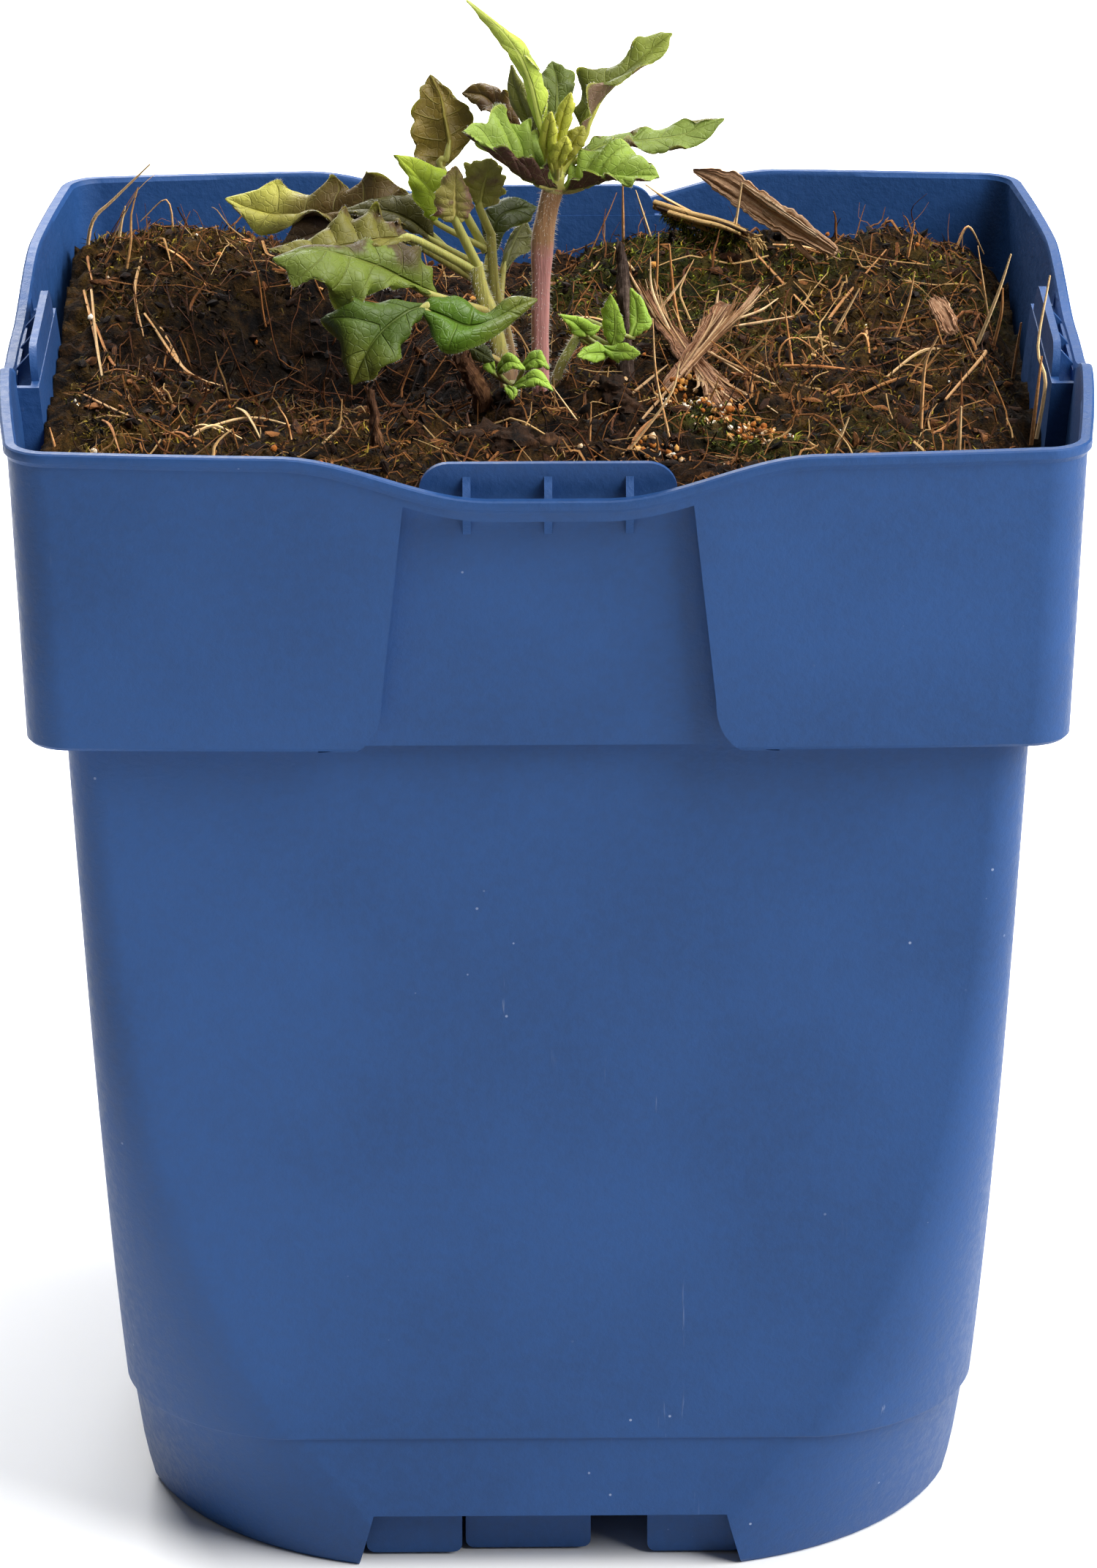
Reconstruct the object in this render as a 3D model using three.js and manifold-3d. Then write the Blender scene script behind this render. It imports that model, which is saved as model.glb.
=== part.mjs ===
// A young fleur giant hyssop in its square garden pot.
// Millimetres, +Z up. The origin is on the ground under the middle of the pot, and the front faces -Y.

import * as THREE from "three";
import { mergeVertices } from "three/addons/utils/BufferGeometryUtils.js";
import Module from "manifold-3d";

const wasm = await Module();
wasm.setup();

const { PI, abs, cos, floor, hypot, max, min, sin } = Math;

// The pot as a whole
const RIM_WIDTH = 110;
const POT_HEIGHT = 128.7;
const WALL = 1.0;
const FIT_GAP = 0.3;

// Skirt, the lowest band of the pot
const SKIRT_HEIGHT = 15.9;
const SKIRT_HALF_FOOT = 44.45;
const SKIRT_HALF_TOP = 45.4;
const SKIRT_CORNER_FOOT = 28.5;
const SKIRT_CORNER_TOP = 18.5;

// Body, which tapers and whose corners sharpen towards the collar
const BODY_HALF_FOOT = 45.8;
const BODY_HALF_TOP = 49.6;
const BODY_CORNER_FOOT = 17.3;
const BODY_CORNER_TOP = 4.1;
const BODY_CORNER_POWER = 2.9;

// Collar, the wide band whose sides bow outward
const COLLAR_FOOT = 96.5;
const BEAD_PROUD = 0.45;
const BEAD_HEIGHT = 1.2;
const COLLAR_HALF_FOOT = 53.4;
const COLLAR_HALF_TOP = RIM_WIDTH / 2 - BEAD_PROUD;
const COLLAR_CORNER = 4.6;
const COLLAR_BOW_FOOT = 0.8;
const COLLAR_BOW_TOP = 2.8;
const SHELF_TOP = COLLAR_FOOT + WALL;

// The dip in the rim at the middle of each side
const DIP_DEPTH = 4.3;
const DIP_FLAT_HALF = 6;
const DIP_HALF = 27;

// The sunk panel of each side, the lip over it and the slot behind the lip
const PANEL_OUT_FOOT = 51.7;
const PANEL_OUT_TOP = 54.4;
const PANEL_TOP = 124.1;
const PANEL_HALF_FOOT = 17;
const PANEL_HALF_TOP = 14.6;
const PANEL_FLARE = 4.5;
const PANEL_WALL = 0.9;
const LIP_HEIGHT = 2.3;
const LIP_INNER_OUT = 56.1;

// The arched tab over each panel and the three ribs that tie it to the lip
const TAB_HALF = 13;
const TAB_TOP = 127.5;
const TAB_CORNER = 3;
const TAB_WALL = 0.8;
const RIB_PITCH = 8.2;
const RIB_WIDTH = 0.8;
const RIB_TOP_AT_TAB = 126.4;
const RIB_FOOT = 119.5;

// The floor, its drainage holes, and the notches and feet under it
const FLOOR_UNDERSIDE = 7.2;
const FLOOR_TOP = 8.4;
const NOTCH_HALF_FOOT = 20.85;
const NOTCH_HALF_TOP = 18.95;
const NOTCH_HEIGHT = 6.5;
const DRAIN_RADIUS = 4;
const DRAIN_RING = 27;
const DRAIN_COUNT = 8;
const FOOT_PLATE = 1.1;
const FOOT_CLEARANCE = 0.4;
const FEET = [
  { from: -19.8, to: -9.5, setback: 3.5 },
  { from: -9.1, to: 4.4, setback: 4.6 },
  { from: 10.5, to: 20.8, setback: 3.5 },
];

// The soil
const SOIL_LEVEL = 120.4;
const SOIL_CELLS = 25;
const SOIL_HALF_SHELF = 50.2;
const SOIL_HALF_TOP = 53.2;
const SOIL_BOW = 0.2;
const SOIL_EDGE_DROP = 1.4;
const HOLE_CLEARANCE = 0.5;
const HOLE_TOP = 126;
const FIBRE_COUNT = 10;
const FIBRE_RADIUS = 0.4;

// Leaves
const BLADE_THICKNESS = 0.66;
const LONG_BLADE = 9;
const LONG_BLADE_STATIONS = 10;
const SHORT_BLADE_STATIONS = 6;
const TIP_HALF_WIDTH = 0.22;
const STALK_REACH = 0.16;
const STALK_TIP = 0.25;
const SEED = 20;

// Small tools for points, curves and solids

function point(coordinates) {
  return new THREE.Vector3(...coordinates);
}

function blend(from, to, share) {
  return from + (to - from) * share;
}

function smoothStep(value) {
  const share = min(max(value, 0), 1);
  return share * share * (3 - 2 * share);
}

function seededDraw(seed) {
  let state = seed;
  return () => {
    state = (state * 1664525 + 1013904223) % 4294967296;
    return state / 4294967296;
  };
}

function meshGeometry(vertices, triangles) {
  const geometry = new THREE.BufferGeometry();
  geometry.setFromPoints(vertices);
  geometry.setIndex(triangles);
  return geometry;
}

function toSolid(geometry) {
  const bare = geometry.clone();
  bare.deleteAttribute("normal");
  bare.deleteAttribute("uv");
  const merged = mergeVertices(bare, 1e-4);
  return new wasm.Manifold(new wasm.Mesh({
    numProp: 3,
    vertProperties: new Float32Array(merged.attributes.position.array),
    triVerts: new Uint32Array(merged.index.array),
  }));
}

function joined(solids) {
  return solids.reduce((whole, piece) => whole.add(piece));
}

function without(solid, cuts) {
  return cuts.reduce((rest, cut) => rest.subtract(cut), solid);
}

function toGeometry(solid) {
  const mesh = solid.getMesh();
  const geometry = new THREE.BufferGeometry();
  geometry.setAttribute("position", new THREE.BufferAttribute(mesh.vertProperties, 3));
  geometry.setIndex(new THREE.BufferAttribute(mesh.triVerts, 1));
  geometry.computeVertexNormals();
  return geometry;
}

// A closed body through rings of equal count, each ring anticlockwise as seen from the ring after it
function loft(rings) {
  const count = rings[0].length;
  const vertices = rings.flat();
  const triangles = [];
  for (let level = 0; level < rings.length - 1; level += 1) {
    for (let index = 0; index < count; index += 1) {
      const next = (index + 1) % count;
      const low = level * count;
      const high = low + count;
      triangles.push(low + index, low + next, high + next);
      triangles.push(low + index, high + next, high + index);
    }
  }
  const lastStart = (rings.length - 1) * count;
  for (const [start, facesUp] of [[0, false], [lastStart, true]]) {
    const middle = vertices.length;
    const ring = rings[start / count];
    const centre = ring.reduce((sum, corner) => sum.add(corner), new THREE.Vector3());
    vertices.push(centre.divideScalar(count));
    for (let index = 0; index < count; index += 1) {
      const here = start + index;
      const next = start + ((index + 1) % count);
      triangles.push(...(facesUp ? [middle, here, next] : [middle, next, here]));
    }
  }
  return toSolid(meshGeometry(vertices, triangles));
}

// A round rod along a curve, whose radius runs evenly through the given radii
function rod(curve, radii, sides, steps) {
  const frames = curve.computeFrenetFrames(steps, false);
  const rings = [];
  for (let step = 0; step <= steps; step += 1) {
    const share = step / steps;
    const place = share * (radii.length - 1);
    const index = min(floor(place), radii.length - 2);
    const radius = blend(radii[index], radii[index + 1], place - index);
    const centre = curve.getPointAt(share);
    const ring = [];
    for (let side = 0; side < sides; side += 1) {
      const angle = (2 * PI * side) / sides;
      ring.push(centre.clone()
        .addScaledVector(frames.normals[step], radius * cos(angle))
        .addScaledVector(frames.binormals[step], radius * sin(angle)));
    }
    rings.push(ring);
  }
  return loft(rings);
}

function curveThrough(places) {
  return new THREE.CatmullRomCurve3(places.map(point));
}

function outline(corners) {
  return new THREE.Shape(corners.map(([x, y]) => new THREE.Vector2(x, y)));
}

// An outline drawn across the front side, in x and z, carried outward from one distance to another
function sidePrism(shape, nearest, farthest) {
  const geometry = new THREE.ExtrudeGeometry(shape, {
    depth: farthest - nearest,
    bevelEnabled: false,
    curveSegments: 4,
  });
  geometry.rotateX(PI / 2);
  geometry.translate(0, -nearest, 0);
  return geometry;
}

// An outline drawn in distance outward and z, carried along the front side from left to right
function alongPrism(shape, left, right) {
  const geometry = new THREE.ExtrudeGeometry(shape, { depth: right - left, bevelEnabled: false });
  const outward = new THREE.Vector3(0, -1, 0);
  const upward = new THREE.Vector3(0, 0, 1);
  const leftward = new THREE.Vector3(-1, 0, 0);
  geometry.applyMatrix4(new THREE.Matrix4().makeBasis(outward, upward, leftward));
  geometry.translate(right, 0, 0);
  return geometry;
}

function sideBlock(left, right, nearest, farthest, foot, top) {
  const geometry = new THREE.BoxGeometry(right - left, farthest - nearest, top - foot);
  geometry.translate((left + right) / 2, -(nearest + farthest) / 2, (foot + top) / 2);
  return geometry;
}

// The same piece on all four sides of the pot
function onFourSides(geometry) {
  return [0, 1, 2, 3].map((turn) => toSolid(geometry.clone().rotateZ((turn * PI) / 2)));
}

// Pot

// One level of a square with round corners. The stations share out each side, and rise lifts its points.
function squareRing({ half, corner, z, bow = 0, stations = [-1, 1], rise = () => 0 }) {
  const straight = half - corner;
  const quarter = stations.map((station) => {
    const along = station * straight;
    return new THREE.Vector3(along, -half - bow * (1 - station * station), z + rise(along));
  });
  const cornerSteps = 6;
  for (let step = 1; step < cornerSteps; step += 1) {
    const angle = (-PI / 2) + (PI / 2) * (step / cornerSteps);
    quarter.push(new THREE.Vector3(straight + corner * cos(angle), -straight + corner * sin(angle), z));
  }
  return [0, 1, 2, 3].flatMap((turn) => quarter.map((place) => (
    place.clone().applyAxisAngle(new THREE.Vector3(0, 0, 1), (turn * PI) / 2)
  )));
}

function bodyHalf(z) {
  if (z < SKIRT_HEIGHT) {
    return blend(SKIRT_HALF_FOOT, SKIRT_HALF_TOP, z / SKIRT_HEIGHT);
  }
  return blend(BODY_HALF_FOOT, BODY_HALF_TOP, (z - SKIRT_HEIGHT) / (COLLAR_FOOT - SKIRT_HEIGHT));
}

function bodyCorner(z) {
  if (z < SKIRT_HEIGHT) {
    return blend(SKIRT_CORNER_FOOT, SKIRT_CORNER_TOP, z / SKIRT_HEIGHT);
  }
  const below = max(COLLAR_FOOT - z, 0) / (COLLAR_FOOT - SKIRT_HEIGHT);
  return BODY_CORNER_TOP + (BODY_CORNER_FOOT - BODY_CORNER_TOP) * below ** BODY_CORNER_POWER;
}

function bodyRing(z, inset) {
  return squareRing({ half: bodyHalf(z) - inset, corner: bodyCorner(z) - inset, z });
}

function dip(along) {
  return DIP_DEPTH * (1 - smoothStep((abs(along) - DIP_FLAT_HALF) / (DIP_HALF - DIP_FLAT_HALF)));
}

function collarRing(z, inset, stations, rise) {
  const share = (z - COLLAR_FOOT) / (POT_HEIGHT - COLLAR_FOOT);
  return squareRing({
    half: blend(COLLAR_HALF_FOOT, COLLAR_HALF_TOP, share) - inset,
    corner: COLLAR_CORNER - inset,
    z,
    bow: blend(COLLAR_BOW_FOOT, COLLAR_BOW_TOP, share),
    stations,
    rise,
  });
}

function panelOut(z) {
  return blend(PANEL_OUT_FOOT, PANEL_OUT_TOP, (z - SHELF_TOP) / (PANEL_TOP - SHELF_TOP));
}

// The band between two distances from the panel's face, drawn in distance outward and z
function panelBand(inner, outer, foot, top) {
  return outline([
    [panelOut(foot) + inner, foot],
    [panelOut(foot) + outer, foot],
    [panelOut(top) + outer, top],
    [panelOut(top) + inner, top],
  ]);
}

// The opening in the collar over a panel: leaning sides, flared below, and a top that follows the dip
function panelOpening(margin) {
  const foot = margin > 0 ? COLLAR_FOOT : COLLAR_FOOT - 1;
  const halfFoot = PANEL_HALF_FOOT + margin;
  const halfTop = PANEL_HALF_TOP + margin;
  const flareFoot = halfFoot + PANEL_FLARE;
  const shape = new THREE.Shape();
  shape.moveTo(-flareFoot, foot);
  shape.lineTo(flareFoot, foot);
  shape.quadraticCurveTo(halfFoot, COLLAR_FOOT, halfFoot, COLLAR_FOOT + PANEL_FLARE);
  if (margin > 0) {
    shape.lineTo(halfTop, PANEL_TOP);
    shape.lineTo(-halfTop, PANEL_TOP);
  } else {
    for (const along of [halfTop, 11, DIP_FLAT_HALF, -DIP_FLAT_HALF, -11, -halfTop]) {
      shape.lineTo(along, POT_HEIGHT - dip(along) - LIP_HEIGHT);
    }
  }
  shape.lineTo(-halfFoot, COLLAR_FOOT + PANEL_FLARE);
  shape.quadraticCurveTo(-halfFoot, COLLAR_FOOT, -flareFoot, foot);
  return shape;
}

function tabShape() {
  const shape = new THREE.Shape();
  const straight = TAB_HALF - TAB_CORNER;
  shape.moveTo(-TAB_HALF, PANEL_TOP - 1);
  shape.lineTo(TAB_HALF, PANEL_TOP - 1);
  shape.lineTo(TAB_HALF, TAB_TOP - TAB_CORNER);
  shape.absarc(straight, TAB_TOP - TAB_CORNER, TAB_CORNER, 0, PI / 2, false);
  shape.absarc(-straight, TAB_TOP - TAB_CORNER, TAB_CORNER, PI / 2, PI, false);
  return shape;
}

function potShell() {
  const bodyLevels = [SKIRT_HEIGHT + 0.3, 22, 30, 40, 52, 68, COLLAR_FOOT, SHELF_TOP + 0.5];
  const body = loft([
    bodyRing(0, 0),
    bodyRing(8, 0),
    bodyRing(SKIRT_HEIGHT - 0.01, 0),
    ...bodyLevels.map((z) => bodyRing(z, 0)),
  ]);
  const rimStations = [-1, -0.75, -0.54, -0.4, -0.3, -0.2, -0.12];
  const stations = [...rimStations, 0, ...rimStations.map((station) => -station).reverse()];
  const falling = (along) => -dip(along);
  const collar = loft([
    collarRing(COLLAR_FOOT, 0.5, stations),
    collarRing(COLLAR_FOOT + 0.5, 0, stations),
    collarRing(POT_HEIGHT - BEAD_HEIGHT, 0, stations, falling),
    collarRing(POT_HEIGHT - BEAD_HEIGHT + 0.3, -BEAD_PROUD, stations, falling),
    collarRing(POT_HEIGHT, -BEAD_PROUD + 0.25, stations, falling),
  ]);
  const bodyHollow = loft([FLOOR_TOP, 16, 24, 34, 46, 62, SHELF_TOP + 1].map((z) => bodyRing(z, WALL)));
  const coarse = [-1, -0.6, -0.2, 0.2, 0.6, 1];
  const collarHollow = loft([
    collarRing(SHELF_TOP, WALL, coarse),
    collarRing(POT_HEIGHT + 1, WALL, coarse),
  ]);
  const underside = loft([bodyRing(-1, WALL + 0.1), bodyRing(FLOOR_UNDERSIDE, WALL + 0.1)]);
  return without(joined([body, collar]), [bodyHollow, collarHollow, underside]);
}

// What the collar's sides add: the sunk panel with its end webs, the tab and the ribs
function panelPieces() {
  const surround = toSolid(sidePrism(panelOpening(PANEL_WALL), 49, 60)).intersect(
    toSolid(alongPrism(panelBand(-PANEL_WALL, 2.1, COLLAR_FOOT, PANEL_TOP + 1), -30, 30)),
  );
  const tab = toSolid(sidePrism(tabShape(), 49, 60)).intersect(
    toSolid(alongPrism(panelBand(-TAB_WALL, 0, PANEL_TOP - 2, TAB_TOP + 1), -30, 30)),
  );
  return joined([surround, tab]);
}

function panelCuts() {
  const opening = toSolid(sidePrism(panelOpening(0), 49, 62)).intersect(
    toSolid(alongPrism(panelBand(0, 12, COLLAR_FOOT - 2, PANEL_TOP + 1), -30, 30)),
  );
  const slot = toSolid(alongPrism(outline([
    [panelOut(RIB_FOOT - 1), RIB_FOOT - 1],
    [LIP_INNER_OUT, RIB_FOOT - 1],
    [LIP_INNER_OUT, POT_HEIGHT + 1],
    [panelOut(POT_HEIGHT + 1), POT_HEIGHT + 1],
  ]), -PANEL_HALF_TOP, PANEL_HALF_TOP));
  return joined([opening, slot]);
}

function rib(middle) {
  const lipTop = POT_HEIGHT - DIP_DEPTH - 0.3;
  return toSolid(alongPrism(outline([
    [panelOut(RIB_FOOT) - 0.3, RIB_FOOT],
    [LIP_INNER_OUT + 0.3, lipTop - LIP_HEIGHT + 0.5],
    [LIP_INNER_OUT + 0.3, lipTop],
    [panelOut(RIB_TOP_AT_TAB) - 0.3, RIB_TOP_AT_TAB],
  ]), middle - RIB_WIDTH / 2, middle + RIB_WIDTH / 2));
}

function turned(solid, quarterTurns) {
  return toSolid(toGeometry(solid).rotateZ((quarterTurns * PI) / 2));
}

function drains() {
  const bore = (x, y, radius) => {
    const geometry = new THREE.CylinderGeometry(radius, radius, 8, 8);
    geometry.rotateX(PI / 2);
    geometry.translate(x, y, FLOOR_TOP);
    return toSolid(geometry);
  };
  const ring = Array.from({ length: DRAIN_COUNT }, (unused, index) => {
    const angle = (2 * PI * index) / DRAIN_COUNT;
    return bore(DRAIN_RING * cos(angle), DRAIN_RING * sin(angle), DRAIN_RADIUS);
  });
  return [bore(0, 0, DRAIN_RADIUS * 1.25), ...ring];
}

function buildPot() {
  const sides = [0, 1, 2, 3];
  const notch = outline([
    [-NOTCH_HALF_FOOT, -1],
    [NOTCH_HALF_FOOT, -1],
    [NOTCH_HALF_TOP, NOTCH_HEIGHT],
    [-NOTCH_HALF_TOP, NOTCH_HEIGHT],
  ]);
  const notches = onFourSides(sidePrism(notch, SKIRT_HALF_FOOT - 2, SKIRT_HALF_TOP + 2));
  const feet = FEET.flatMap(({ from, to, setback }) => {
    const face = SKIRT_HALF_FOOT - setback;
    return onFourSides(sideBlock(from, to, face - FOOT_PLATE, face, FOOT_CLEARANCE, FLOOR_TOP - 0.4));
  });
  const panel = panelPieces();
  const cuts = panelCuts();
  const ribs = joined([-RIB_PITCH, 0, RIB_PITCH].map(rib));
  const filled = joined([potShell(), ...sides.map((side) => turned(panel, side))]);
  const opened = without(filled, [...sides.map((side) => turned(cuts, side)), ...notches]);
  const ribbed = joined([opened, ...sides.map((side) => turned(ribs, side)), ...feet]);
  return without(ribbed, drains());
}

// Soil

// The relief of the surface: mounds in the back corners, a hollow left of the stems, and crumbs
const MOUNDS = [
  { x: -40, y: 36, radius: 22, height: 4.8 },
  { x: 38, y: 40, radius: 15, height: 4 },
  { x: 15, y: 40, radius: 12, height: 4 },
  { x: 34, y: -6, radius: 18, height: 1.4 },
  { x: -32, y: -22, radius: 14, height: 1.2 },
  { x: 2, y: -7, radius: 8, height: 0.6 },
  { x: -16, y: -3, radius: 9, height: -3 },
  { x: -6, y: 47, radius: 12, height: -1.4 },
];

function soilHeight(x, y) {
  let height = SOIL_LEVEL;
  for (const mound of MOUNDS) {
    const away = hypot(x - mound.x, y - mound.y) / mound.radius;
    height += mound.height * smoothStep(1 - away / 1.6);
  }
  height += 0.55 * sin(0.41 * x + 1.3) * cos(0.37 * y + 0.4);
  height += 0.4 * sin(0.93 * x - 0.71 * y + 2.1) + 0.3 * cos(0.62 * x + 1.17 * y);
  const edge = max(abs(x), abs(y)) - (SOIL_HALF_TOP - 6);
  return height - SOIL_EDGE_DROP * smoothStep(edge / 5);
}

// A slab under the relief, on a square grid whose inner points are drawn a little off their places
function soilSlab(width, cells, foot) {
  const draw = seededDraw(SEED);
  const pitch = width / cells;
  const across = cells + 1;
  const vertices = [];
  for (let row = 0; row <= cells; row += 1) {
    for (let column = 0; column <= cells; column += 1) {
      const inside = row > 0 && row < cells && column > 0 && column < cells;
      const drift = inside ? pitch * 0.5 : 0;
      const x = -width / 2 + column * pitch + (draw() - 0.5) * drift;
      const y = -width / 2 + row * pitch + (draw() - 0.5) * drift;
      vertices.push(new THREE.Vector3(x, y, soilHeight(x, y) + (draw() - 0.5) * 0.7));
    }
  }
  const triangles = [];
  for (let row = 0; row < cells; row += 1) {
    for (let column = 0; column < cells; column += 1) {
      const corner = row * across + column;
      triangles.push(corner, corner + 1, corner + across + 1);
      triangles.push(corner, corner + across + 1, corner + across);
    }
  }
  const border = [];
  for (let step = 0; step < cells; step += 1) {
    border.push(step);
  }
  for (let step = 0; step < cells; step += 1) {
    border.push(step * across + cells);
  }
  for (let step = cells; step > 0; step -= 1) {
    border.push(cells * across + step);
  }
  for (let step = cells; step > 0; step -= 1) {
    border.push(step * across);
  }
  const lowStart = vertices.length;
  for (const index of border) {
    vertices.push(new THREE.Vector3(vertices[index].x, vertices[index].y, foot));
  }
  const middle = vertices.length;
  vertices.push(new THREE.Vector3(0, 0, foot));
  border.forEach((high, index) => {
    const next = (index + 1) % border.length;
    triangles.push(lowStart + index, lowStart + next, border[next]);
    triangles.push(lowStart + index, border[next], high);
    triangles.push(middle, lowStart + next, lowStart + index);
  });
  return toSolid(meshGeometry(vertices, triangles));
}

// Loose root fibres that arch over the surface with both ends in it
function fibres() {
  const draw = seededDraw(SEED + 1);
  return Array.from({ length: FIBRE_COUNT }, () => {
    const x = blend(-36, 36, draw());
    const y = blend(-42, 24, draw());
    const heading = 2 * PI * draw();
    const length = blend(11, 22, draw());
    const across = [0, 0.5, 1].map((share) => {
      const place = (share - 0.5) * length;
      const side = share === 0.5 ? blend(-2, 2, draw()) : 0;
      const px = x + place * cos(heading) - side * sin(heading);
      const py = y + place * sin(heading) + side * cos(heading);
      return [px, py, soilHeight(px, py) + (share === 0.5 ? 1.7 : -1)];
    });
    return rod(curveThrough(across), [FIBRE_RADIUS, FIBRE_RADIUS], 4, 4);
  });
}

function buildSoil(holes) {
  const lowLevels = [FLOOR_TOP + FIT_GAP, 16, 24, 34, 46, 62, SHELF_TOP + 2];
  const rootBall = loft(lowLevels.map((z) => bodyRing(z, WALL + FIT_GAP)));
  const coarse = [-1, -0.6, -0.2, 0.2, 0.6, 1];
  const shelf = SHELF_TOP + FIT_GAP;
  const corner = COLLAR_CORNER;
  const top = loft([
    squareRing({ half: SOIL_HALF_SHELF, corner, z: shelf, bow: 0, stations: coarse }),
    squareRing({ half: SOIL_HALF_TOP, corner, z: POT_HEIGHT, bow: SOIL_BOW, stations: coarse }),
  ]);
  const surface = soilSlab(RIM_WIDTH, SOIL_CELLS, shelf - 1).intersect(top);
  return without(joined([rootBall, surface, ...fibres()]), holes);
}

// Shoots

function halfWidthAt(share, width) {
  return (width / 2) * sin(PI * share ** 0.6) ** 0.75;
}

// One leaf: a folded, scalloped blade on its midrib, and a leafstalk that runs on under the blade.
// The face is the way its upper side looks, the bend lifts its middle, and the fold raises its edges.
function leaf({ root, base, tip, face, width, fold = 0.55, bend = 0.8, roll = 0, stalk = 0.45 }) {
  const start = point(base);
  const apex = point(tip);
  const upper = point(face).normalize();
  const knee = start.clone().lerp(apex, 0.5).addScaledVector(upper, 2 * bend);
  const midrib = new THREE.QuadraticBezierCurve3(start, knee, apex);
  const stations = start.distanceTo(apex) > LONG_BLADE ? LONG_BLADE_STATIONS : SHORT_BLADE_STATIONS;
  const vertices = [];
  for (let station = 0; station <= stations; station += 1) {
    const share = station / stations;
    const along = midrib.getTangent(share);
    const across = new THREE.Vector3().crossVectors(along, upper).normalize();
    const lift = new THREE.Vector3().crossVectors(across, along).normalize();
    across.applyAxisAngle(along, roll * share);
    lift.applyAxisAngle(along, roll * share);
    const tooth = station % 2 === 1 ? 1.12 : 0.9;
    const half = max(halfWidthAt(share, width) * tooth, TIP_HALF_WIDTH);
    const wave = 0.12 * half * sin(2.4 * station + width);
    const centre = midrib.getPoint(share);
    const swept = centre.clone().addScaledVector(along, station % 2 === 1 ? 0.25 : -0.1);
    for (const side of [-1, 0, 1]) {
      const middle = side === 0 ? centre : swept.clone()
        .addScaledVector(across, side * half * cos(fold))
        .addScaledVector(lift, half * sin(fold) + side * wave);
      const normal = side === 0 ? lift.clone().divideScalar(cos(fold)) : lift.clone()
        .multiplyScalar(cos(fold))
        .addScaledVector(across, -side * sin(fold));
      for (const skin of [1, -1]) {
        vertices.push(middle.clone().addScaledVector(normal, (skin * BLADE_THICKNESS) / 2));
      }
    }
  }
  const at = (station, column, skin) => station * 6 + column * 2 + skin;
  const triangles = [];
  const quad = (a, b, c, d) => triangles.push(a, b, c, a, c, d);
  for (let station = 0; station < stations; station += 1) {
    const next = station + 1;
    for (const column of [0, 1]) {
      const corners = [[station, column], [next, column], [next, column + 1], [station, column + 1]];
      const turn = column === 0 ? corners : [corners[1], corners[2], corners[3], corners[0]];
      const [a, b, c, d] = turn.map(([i, j]) => at(i, j, 0));
      triangles.push(a, c, b, a, d, c);
      triangles.push(a + 1, b + 1, c + 1, a + 1, c + 1, d + 1);
    }
    quad(at(station, 0, 0), at(next, 0, 0), at(next, 0, 1), at(station, 0, 1));
    quad(at(station, 2, 0), at(station, 2, 1), at(next, 2, 1), at(next, 2, 0));
  }
  const end = stations;
  for (const column of [0, 1]) {
    quad(at(0, column, 0), at(0, column, 1), at(0, column + 1, 1), at(0, column + 1, 0));
    quad(at(end, column, 0), at(end, column + 1, 0), at(end, column + 1, 1), at(end, column, 1));
  }
  const blade = toSolid(meshGeometry(vertices, triangles));
  const path = new THREE.CatmullRomCurve3([point(root), start.clone(), midrib.getPoint(STALK_REACH)]);
  return [blade, rod(path, [stalk * 1.15, stalk, STALK_TIP], 4, 3)];
}

function stem({ path, radii, sides = 8, steps = 8 }) {
  return rod(curveThrough(path), radii, sides, steps);
}

// The outer body alone, so that no hollow stays sealed where leaves meet
function outerBody(solid) {
  return solid.decompose().reduce((largest, body) => (body.volume() > largest.volume() ? body : largest));
}

function shoot({ stems, leaves }) {
  return outerBody(joined([...stems.map(stem), ...leaves.flatMap(leaf)]));
}

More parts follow.
